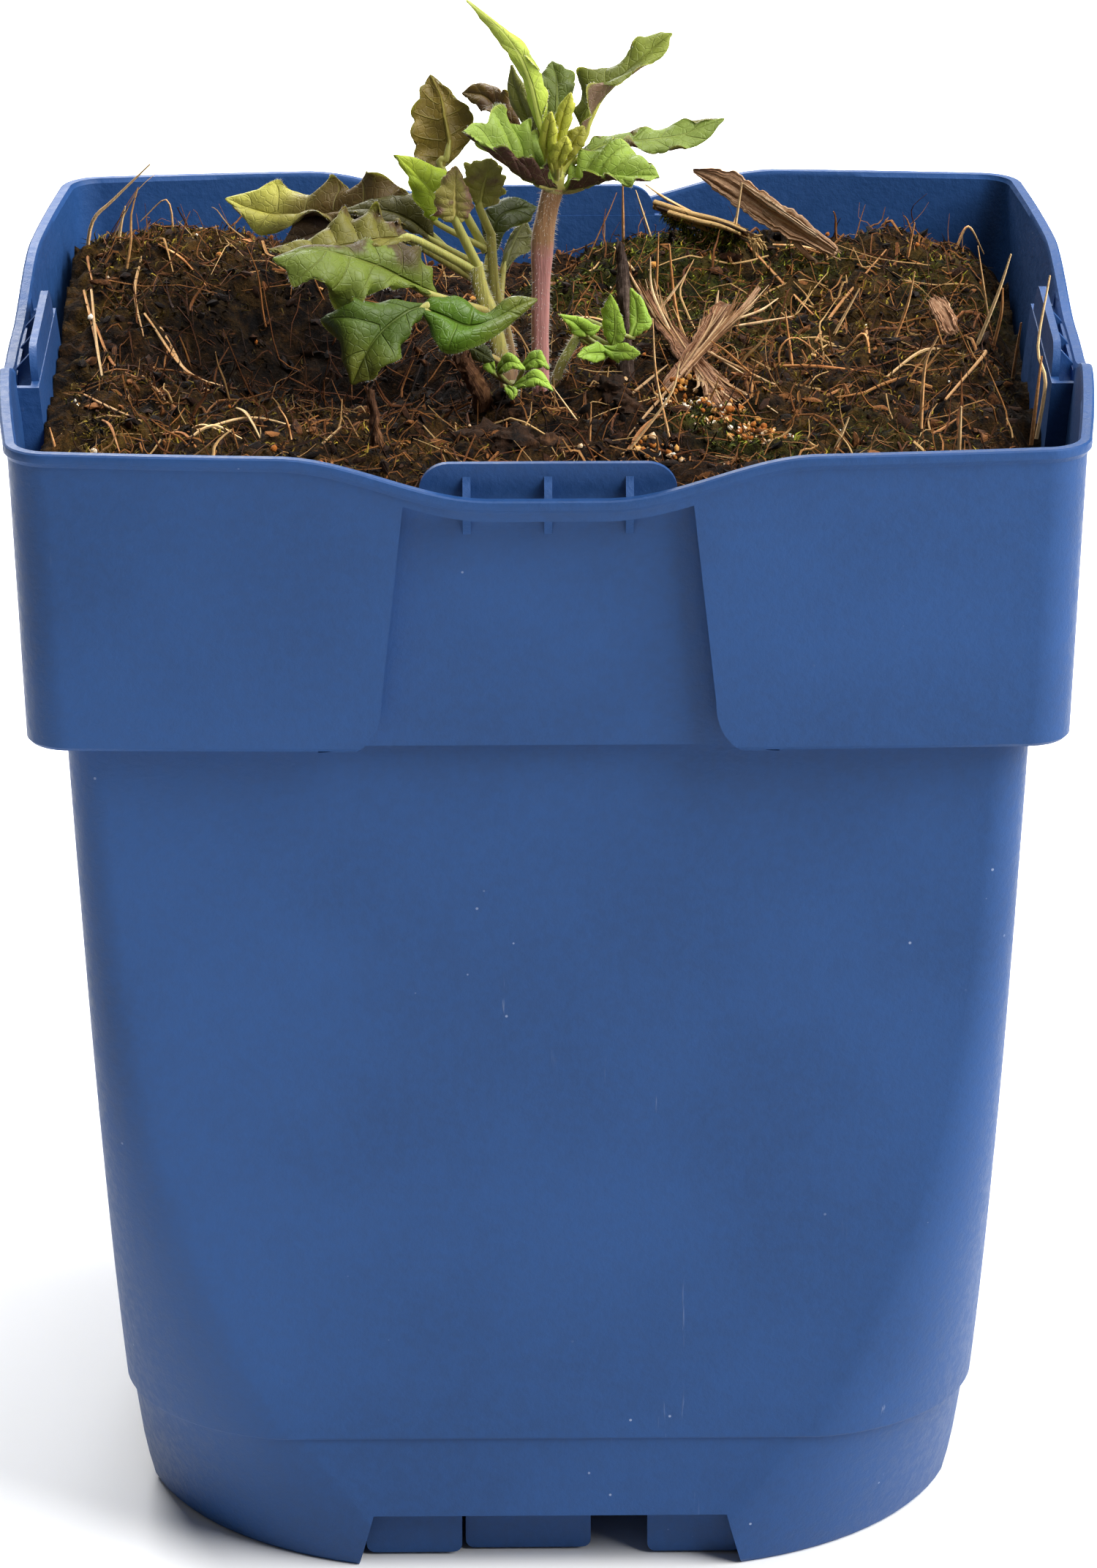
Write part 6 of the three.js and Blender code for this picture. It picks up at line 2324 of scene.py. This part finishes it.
def right_shoot() -> Shoot:
    """The small shoot to the right of the main stem.

    Returns:
        The shoot.
    """
    stems = [
        Stem(
            ((1.1, -3.2, 112), (1, -3.4, 119.6), (1.6, -3.4, 122.4), (3, -3, 125), (4, -2.4, 126.6)),
            (0.6, 0.6, 0.55, 0.5, 0.4), GREEN_STEM,
        ),
    ]
    leaves = [
        small_leaf(
            "pointed", (3.6, -2.5, 126),
            ((4.6, -4.4, 126.3), (4, -4.8, 127.2), (3.1, -5.6, 128.2), (1.5, -6.8, 129.4)),
            ((3, -5, 126.6), (2.3, -6.2, 128)), ((6, -4, 126.8), (4.8, -4.8, 128.5)),
            cut=0.4,
        ),
        Leaf(
            "upright", (4, -2.2, 126.4),
            ((7.3, -2.6, 124.6), (7.6, -3.2, 126.6), (7.5, -3.8, 128.7), (7, -4.4, 131)),
            ((6.2, -3, 126.2), (6.1, -3.8, 129.1)), ((8.7, -2.6, 125.6), (8.2, -3.4, 128.6)),
            SEEDLING, stalk=0.3, teeth=6, cut=0.18, puff=0.05, ripple=0.14,
        ),
        small_leaf(
            "far", (4.6, -1.9, 127.4),
            ((9.2, -1, 125.2), (9.9, -0.4, 126.8), (9.9, 0.2, 128.6), (9.3, 0.8, 130.2)),
            ((9.1, -0.2, 126.4), (9.1, 0.6, 128.6)), ((11.6, -1, 126), (11, -0.2, 128.8)),
            cut=0.4,
        ),
        small_leaf(
            "low_left", (3.5, -2.6, 125.6),
            ((7, -4.6, 124.3), (5.7, -5.6, 124.7), (4.6, -6.6, 125), (3.4, -7.4, 124.9)),
            ((6, -6, 123.8), (4.6, -7, 124.1)), ((5.9, -5, 125.8), (4.5, -6.2, 126)),
        ),
        small_leaf(
            "low_right", (3.8, -2.4, 126),
            ((6, -4.4, 125.2), (7.3, -5.6, 124.9), (8.5, -6.6, 125.1), (10.2, -7.6, 125.3)),
            ((7.1, -4.8, 125.4), (9, -5.8, 126.1)), ((7.3, -6.4, 124.1), (9, -7.4, 124.2)),
        ),
    ]
    return Shoot("right_shoot", "young_leaves", stems, leaves, GREEN_STEM, 9)


# Dead wood


@dataclass(frozen=True)
class Splinter:
    """A flat splinter of bark: its route, its widths shared out along it, and how ragged it is."""

    path: tuple[Point, ...]
    widths: tuple[float, ...]
    thick: float = 0.7
    lean: float = 0.0
    ragged: float = 0.12
    tone: float = 0.5
    seed: float = 1.0

    def mesh(self) -> Mesh:
        """The splinter, ridged along its length and with strands that end unevenly.

        Returns:
            The splinter, with the layers its finish reads.
        """
        route = Route(self.path)
        rows, around = 56, 48
        last = len(self.widths) - 1
        rings = []
        for row in range(rows + 1):
            ring = []
            for step in range(around):
                angle = 2 * pi * step / around
                flat = abs(cos(angle)) ** 0.7 * (1 if cos(angle) > 0 else -1)
                begin = self.ragged * (0.5 + noise.noise(Vector((flat * 5, self.seed, 1)))) * 0.7
                end = 1 - self.ragged * (0.5 + noise.noise(Vector((flat * 5, self.seed, 4))))
                share = blend(begin, end, row / rows)
                heading = (route.at(share + 0.01) - route.at(share - 0.01)).normalized()
                level = Vector((0, 0, 1)).cross(heading).normalized()
                across = Matrix.Rotation(self.lean, 3, heading) @ level
                lift = heading.cross(across)
                index = min(int(share * last), last - 1)
                half = blend(self.widths[index], self.widths[index + 1], share * last - index) / 2
                half *= 1 + 0.3 * noise.noise(Vector((share * 11, flat * 0.6, self.seed)))
                half *= 1 + 0.16 * noise.noise(Vector((share * 42, flat * 0.6, self.seed)))
                ridge = 0.75 + 0.9 * noise.noise(Vector((flat * 9, share * 1.8, self.seed)))
                ridge += 0.3 * noise.noise(Vector((flat * 22, share * 5, self.seed)))
                deep = sin(angle) * self.thick / 2 * ridge + 0.16 * half * flat * flat
                ring.append(route.at(share) + across * half * flat + lift * deep)
            rings.append(ring)
        work = lofted(rings)
        layers = {key: work.verts.layers.float.new(key) for key in ("Along", "Round", "Tone")}
        row_layer, column_layer = work.verts.layers.int["Row"], work.verts.layers.int["Column"]
        for vertex in work.verts:
            vertex[layers["Along"]] = vertex[row_layer] / rows
            vertex[layers["Round"]] = cos(2 * pi * vertex[column_layer] / around)
            vertex[layers["Tone"]] = self.tone
        return work


@dataclass(frozen=True)
class Stub:
    """One old dead stem end: its line, its radii shared out along it, and its finish."""

    name: str
    path: tuple[Point, ...]
    radii: tuple[float, ...]
    skin: Wood
    broken: float = 0.6

    def build(self) -> None:
        """Makes the stub, rough as bark and broken at its top."""
        stamp = Stamp(round_rod(30, 60))
        stamp.strand(Route(self.path), self.radii, 0.5)
        work = stamp.finished()
        work.normal_update()
        for vertex in work.verts:
            x, y, z = vertex.co
            rough = noise.fractal(Vector((x * 1.8, y * 1.8, z * 0.7)), 0.8, 2.1, 5)
            vertex.co += vertex.normal * 0.3 * rough
            if vertex.co.z > self.path[-1][2] - self.broken:
                vertex.co.z += 1.2 * noise.noise(vertex.co * 2.6)
        piece_from(work, f"{self.name}_wood", self.skin.material(), "old_stem", [self.name], 50)


@dataclass
class DeadWood:
    """Old stem ends in the soil, and the bark and sticks that lie on it."""

    seed: int = 41
    frays_a_splinter: int = 14
    reed: tuple[Point, ...] = (
        (13, 46.4, 127.2), (16.1, 42.6, 127.1), (19.3, 38.8, 127.2), (21.4, 36, 127.4), (24.2, 31.8, 127.1),
    )
    reed_strands: int = 32
    reed_frays: int = 26
    beard_leaves: int = 1300
    stubs: tuple[Stub, ...] = (
        Stub(
            "stub_dark", ((8.8, 2.8, 114), (8.8, 2.9, 122), (8.6, 3.1, 129), (8.3, 3.6, 134.2)),
            (0.9, 0.9, 0.7, 0.45), Wood("dark_stub", "120d0b", "43332b", "8c7668"),
        ),
        Stub(
            "stub_left", ((-6.4, -10.8, 115), (-6.6, -11.2, 121), (-7.8, -12.4, 124.4), (-9.2, -13.8, 127.2)),
            (1.2, 1.1, 0.95, 0.8), Wood("brown_stub", "1c0d07", "573620", "9c7047"),
        ),
        Stub(
            "stub_far_left", ((-17.2, -27.5, 115), (-17.6, -28, 121), (-18.2, -28.4, 127.4)),
            (0.8, 0.7, 0.35), Wood("brown_stub", "1c0d07", "573620", "9c7047"),
        ),
    )
    strip: tuple[Splinter, ...] = (
        Splinter(
            (
                (17.2, 51.4, 130), (20, 48.2, 129.8), (22.5, 45, 129.1), (25.5, 40.8, 128),
                (28.7, 36.6, 127.1), (33.5, 30, 125.6),
            ),
            (0.3, 2.2, 3.4, 3.0, 3.4, 2.6, 1.2),
            thick=0.7, lean=1.15, ragged=0.06,
        ),
        Splinter(
            ((22.6, 44.6, 130.2), (26, 40, 128.8), (31, 33.4, 126.8)), (0.5, 0.8, 0.6),
            thick=0.6, lean=0.9, ragged=0.05, tone=0.8, seed=2.0,
        ),
        Splinter(
            ((25, 41, 128), (27.9, 37, 126.1), (29.4, 34.6, 124.8), (30.8, 33, 124)), (0.6, 0.7, 0.7, 0.4),
            thick=0.6, lean=0.3, ragged=0.05, tone=0.6, seed=3.0,
        ),
    )
    chip: tuple[Splinter, ...] = (
        Splinter(
            ((42.2, 12.5, 125.9), (43.6, 10, 124.3), (44.8, 7, 122.5)), (1.2, 2.2, 1.6),
            thick=0.9, lean=0.5, ragged=0.3, tone=0.6, seed=5.0,
        ),
        Splinter(
            ((43.7, 13, 125.7), (44.4, 10.5, 124.2), (45, 8.5, 122.6)), (0.4, 0.8, 0.6),
            thick=0.7, lean=0.5, ragged=0.2, tone=0.9, seed=6.0,
        ),
    )
    bunch: tuple[Splinter, ...] = (
        Splinter(
            ((12.4, -7.4, 120.6), (15.8, -0.2, 122.6), (17.9, 4.3, 124.6), (19.7, 7.4, 126.6)),
            (1.4, 2.1, 2.2, 2.0),
            thick=0.9, lean=0.25, ragged=0.1, tone=0.5, seed=7.0,
        ),
        Splinter(
            ((14.6, -5.2, 121.8), (17.6, -0.8, 124.4), (20.6, 3.4, 126), (23.6, 6.7, 128.8)),
            (0.9, 0.8, 0.7, 0.4),
            thick=0.7, lean=0.3, ragged=0.08, tone=0.8, seed=8.0,
        ),
        Splinter(
            ((13, -8.2, 121.2), (16.6, -2.4, 123.8), (19.4, 1.3, 125.6), (21.5, 4.7, 126.6)),
            (0.3, 0.5, 0.5, 0.3),
            thick=0.5, lean=0.3, ragged=0.05, tone=0.95, seed=9.0,
        ),
        Splinter(
            ((16.8, -2.4, 121.6), (14.7, 3.5, 123), (12.4, 8.7, 124.8), (10.4, 11.4, 127.8)),
            (2.6, 2.4, 1.6, 0.7),
            thick=0.9, lean=-0.2, ragged=0.2, tone=0.45, seed=10.0,
        ),
        Splinter(
            ((16, 4.4, 121.4), (13.4, 9.4, 123), (11.7, 12.3, 124.5), (10, 13.4, 127.6)),
            (1.8, 1.5, 1.0, 0.5),
            thick=0.8, lean=-0.2, ragged=0.2, tone=0.35, seed=11.0,
        ),
        Splinter(
            ((15.8, -1.6, 122.8), (17.8, -8.9, 121.8), (18.8, -14.6, 120.8)), (1.0, 2.0, 2.2),
            thick=0.8, lean=0.1, ragged=0.2, tone=0.5, seed=12.0,
        ),
        Splinter(
            ((16.6, -1.8, 122.9), (19.1, -8, 121.8), (21.4, -12, 120.8)), (0.9, 1.5, 1.8),
            thick=0.8, lean=0.1, ragged=0.25, tone=0.6, seed=13.0,
        ),
        Splinter(
            ((16, -3.4, 122.6), (17, -8, 122), (17.4, -12, 121.4)), (0.6, 0.9, 0.8),
            thick=0.8, lean=0.1, ragged=0.2, tone=0.75, seed=14.0,
        ),
    )
    loose: tuple[tuple[Point, ...], ...] = (
        ((9, -8.5, 120.9), (13.2, -2, 122.4)),
        ((13.6, -6.4, 121.4), (10.8, -16.6, 121.4), (8.5, -23.5, 120.8)),
        ((17.4, -2, 123.9), (20.8, -5.3, 123), (24.6, -6.3, 121.4), (28, -8, 121)),
        ((17.9, -1.1, 123.5), (20, -3.4, 122.6), (21.3, -4.1, 122)),
        ((20.6, 3, 126), (23.4, 4.4, 126.6), (25.4, 6.4, 127.4)),
        ((21, 2, 125.6), (23.8, 2.2, 126), (26.8, 3.4, 126.2)), ((18.6, 7.6, 125.6), (19, 9, 127.6)),
        ((12.2, 8, 124.8), (10.2, 11, 127.4), (8.6, 12, 130.2)),
        ((13.6, 6, 124), (11.8, 9.6, 127.4), (11.6, 10.4, 131)),
        ((12, 9, 124.6), (14, 10, 127), (15.6, 11, 129)),
        ((19.4, -8.6, 121.8), (22.4, -12.6, 121.6), (24.6, -15, 120.8)),
    )

    def splinters(self, name: str, parts: Sequence[Splinter], skin: Wood) -> None:
        """One piece of bark, made of splinters that lie together.

        Args:
            name: The CAD node it stands for.
            parts: The splinters.
            skin: Its finish.
        """
        work = bmesh.new()
        for part in parts:
            sliver = part.mesh()
            added(work, sliver)
            sliver.free()
        piece_from(work, f"{name}_wood", skin.material(), "bark", [name], 50)

    def fibres(self, skin: Wood) -> None:
        """The thin fibres that stick out of the frayed bunch.

        Args:
            skin: Their finish.
        """
        draw = Random(self.seed)
        stamp = Stamp(round_rod(6, 10, 0.6))
        for route in self.loose:
            stamp.strand(Route(route), (0.15, 0.2, 0.1), blend(0.5, 1, draw.random()))
        for part in self.bunch:
            route = Route(part.path)
            for _ in range(self.frays_a_splinter):
                low = draw.uniform(0, 0.4)
                away = strayed(draw, (-1.1, 1.1), (-0.5, 0.5), (0.1, 0.7))
                reaches = ((0.0, 0.3), (0.35, 0.8), (0.6, 1.6))
                points = [route.at(low + further) + away * out for further, out in reaches]
                stamp.strand(Route(points), (0.07, 0.13, 0.05), draw.random())
        piece_from(stamp.finished(), "bark_bunch_fibres", skin.material(), "bark", ["bark_bunch"], 60)

    def stick(self, skin: Wood, moss: Crumb) -> None:
        """The rotten reed that leans on the back of the soil, with beards of moss under it.

        Args:
            skin: The finish of the reed.
            moss: The finish of its beards.
        """
        stamp = Stamp(round_rod(8, 24, 0.7))
        draw = Random(self.seed + 2)
        path = Route(self.reed)
        for _ in range(self.reed_strands):
            side = strayed(draw, (-0.5, 0.5), (-0.5, 0.5), (-0.6, 0.35))
            low, high = draw.uniform(0, 0.25), draw.uniform(0.72, 1)
            drop = Vector((0, 0, draw.uniform(-1.6, 0.2) if draw.random() < 0.4 else 0.0))
            points = [path.at(blend(low, high, s)) + side + drop * s * s for s in (0, 0.35, 0.7, 1)]
            thick = blend(0.14, 0.42, draw.random() ** 2)
            stamp.strand(Route(points), (thick, thick * 1.15, thick * 0.7), draw.random())
        for _ in range(self.reed_frays):
            start = path.at(draw.uniform(0.9, 1))
            foot = start + Vector((draw.uniform(-0.4, 0.4), 0, draw.uniform(-0.8, 0.3)))
            tip = foot + strayed(draw, (0, 1.4), (-1, 0.4), (-1.8, 0.2))
            stamp.strand(Route((foot, foot.lerp(tip, 0.5), tip)), (0.12, 0.14, 0.08), 1.0)
        piece_from(stamp.finished(), "mossy_stick_wood", skin.material(), "mossy_wood", ["mossy_stick"], 50)
        beard = Stamp(round_rod(3, 2, 0.08))
        for _ in range(self.beard_leaves):
            share = draw.uniform(0.08, 0.85)
            aside, ahead = draw.uniform(-0.5, 0.5), draw.uniform(-0.6, 0.6)
            base = path.at(share) + Vector((aside, ahead, -draw.random() * 3.2 * sin(pi * share)))
            lean = strayed(draw, (-1, 1), (-1, 1), (-1.2, 0.6)).normalized()
            tip = base + lean * draw.uniform(0.5, 1.2)
            points = (base, base.lerp(tip, 0.5), tip + Vector((0, 0, -0.15)))
            beard.strand(Route(points), (0.1, 0.17, 0.05), draw.random(), 0.45)
        piece_from(beard.finished(), "mossy_stick_beard", moss.material(), "mossy_wood", ["mossy_stick"], 80)

    def build(self) -> None:
        """Makes the stubs, the splinters, the bunch and the stick."""
        for stub in self.stubs:
            stub.build()
        bark = Wood("bark", "47291a", "9a6c4c", "deb690")
        self.splinters("bark_strip", self.strip, Wood("bark_strip", "6a4630", "b48a66", "ead0aa"))
        self.splinters("bark_chip", self.chip, bark)
        self.splinters("bark_bunch", self.bunch, bark)
        self.fibres(Wood("bark_fibre", "6e4426", "bc8c5c", "edcb9c"))
        self.stick(
            Wood("rotten_reed", "3a2209", "8a5f22", "d8b070"),
            Crumb("beard_moss", "10140a", "444c12", "8c8f2a"),
        )


# Studio


@dataclass
class Studio:
    """The camera where the photographer stood, a pale floor and soft light from the right."""

    pitch: float = 0.3421
    roll: float = radians(-0.16)
    yaw: float = radians(0.35)
    stand: Point = (0.0, -735.5, 335.8)
    lens: float = 162.8
    sideways: float = 0.0018
    floor_half: float = 6.0

    def add_camera(self) -> None:
        """Sets up the camera."""
        data = bpy.data.cameras.new("camera")
        data.lens = self.lens
        data.sensor_width = 36.0
        data.shift_x = self.sideways
        data.clip_end = 20.0
        camera = linked("camera", data)
        aim = Matrix.Rotation(pi / 2 - self.pitch, 4, "X") @ Matrix.Rotation(self.roll, 4, "Z")
        place = Matrix.Translation(Vector(self.stand) * MM)
        camera.matrix_world = Matrix.Rotation(-self.yaw, 4, "Z") @ place @ aim
        bpy.context.scene.camera = camera

    def add_light(self, name: str, place: Point, aim: Point, size: float, power: float, cone: float) -> None:
        """Hangs one soft square lamp, in metres, with the angle of its cone in degrees.

        Args:
            name: The name of the lamp.
            place: Where it hangs.
            aim: What it points at.
            size: The length of its sides.
            power: Its power in watts.
            cone: The angle of its cone in degrees.
        """
        data = bpy.data.lights.new(name, "AREA")
        data.shape = "SQUARE"
        data.size = size
        data.energy = power
        data.spread = radians(cone)
        lamp = linked(name, data)
        lamp.location = place
        way = Vector(aim) - Vector(place)
        lamp.rotation_euler = way.to_track_quat("-Z", "Y").to_euler()

    def add_floor(self) -> None:
        """Lays the floor."""
        work = bmesh.new()
        bmesh.ops.create_grid(work, x_segments=4, y_segments=4, size=self.floor_half)
        mesh = bpy.data.meshes.new("stage_floor")
        work.to_mesh(mesh)
        work.free()
        mesh.materials.append(StageFloor().material())
        linked("stage_floor", mesh)

    def build(self) -> None:
        """Sets up camera, lights, floor and the pale surroundings."""
        self.add_camera()
        self.add_floor()
        self.add_light("key_light", (0.94, -0.46, 1.0), (0, 0, 0.08), 1.1, 38, 180)
        self.add_light("floor_light", (-0.3, 0.95, 0.8), (-0.28, -0.1, 0), 0.7, 5.5, 100)
        self.add_light("background_light", (0, 0.5, 1.5), (0, 1.3, 0), 1.0, 40, 90)
        world = bpy.data.worlds.new("studio")
        world.use_nodes = True
        world.node_tree.nodes["Background"].inputs["Color"].default_value = (1, 1, 1, 1)
        world.node_tree.nodes["Background"].inputs["Strength"].default_value = 0.1
        bpy.context.scene.world = world
        bpy.context.scene.view_settings.view_transform = "Standard"


def main() -> None:
    """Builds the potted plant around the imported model."""
    logging.basicConfig(level=logging.INFO, format="%(message)s")
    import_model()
    Studio().build()
    pot = Pot()
    pot.build()
    bed = SoilBed()
    bed.build(pot)
    Straws(bed).build()
    for shoot in (main_shoot(), left_shoot_front(), left_shoot_back(), crown_shoot(), right_shoot()):
        shoot.build()
    DeadWood().build()


if __name__ == "__main__":
    main()
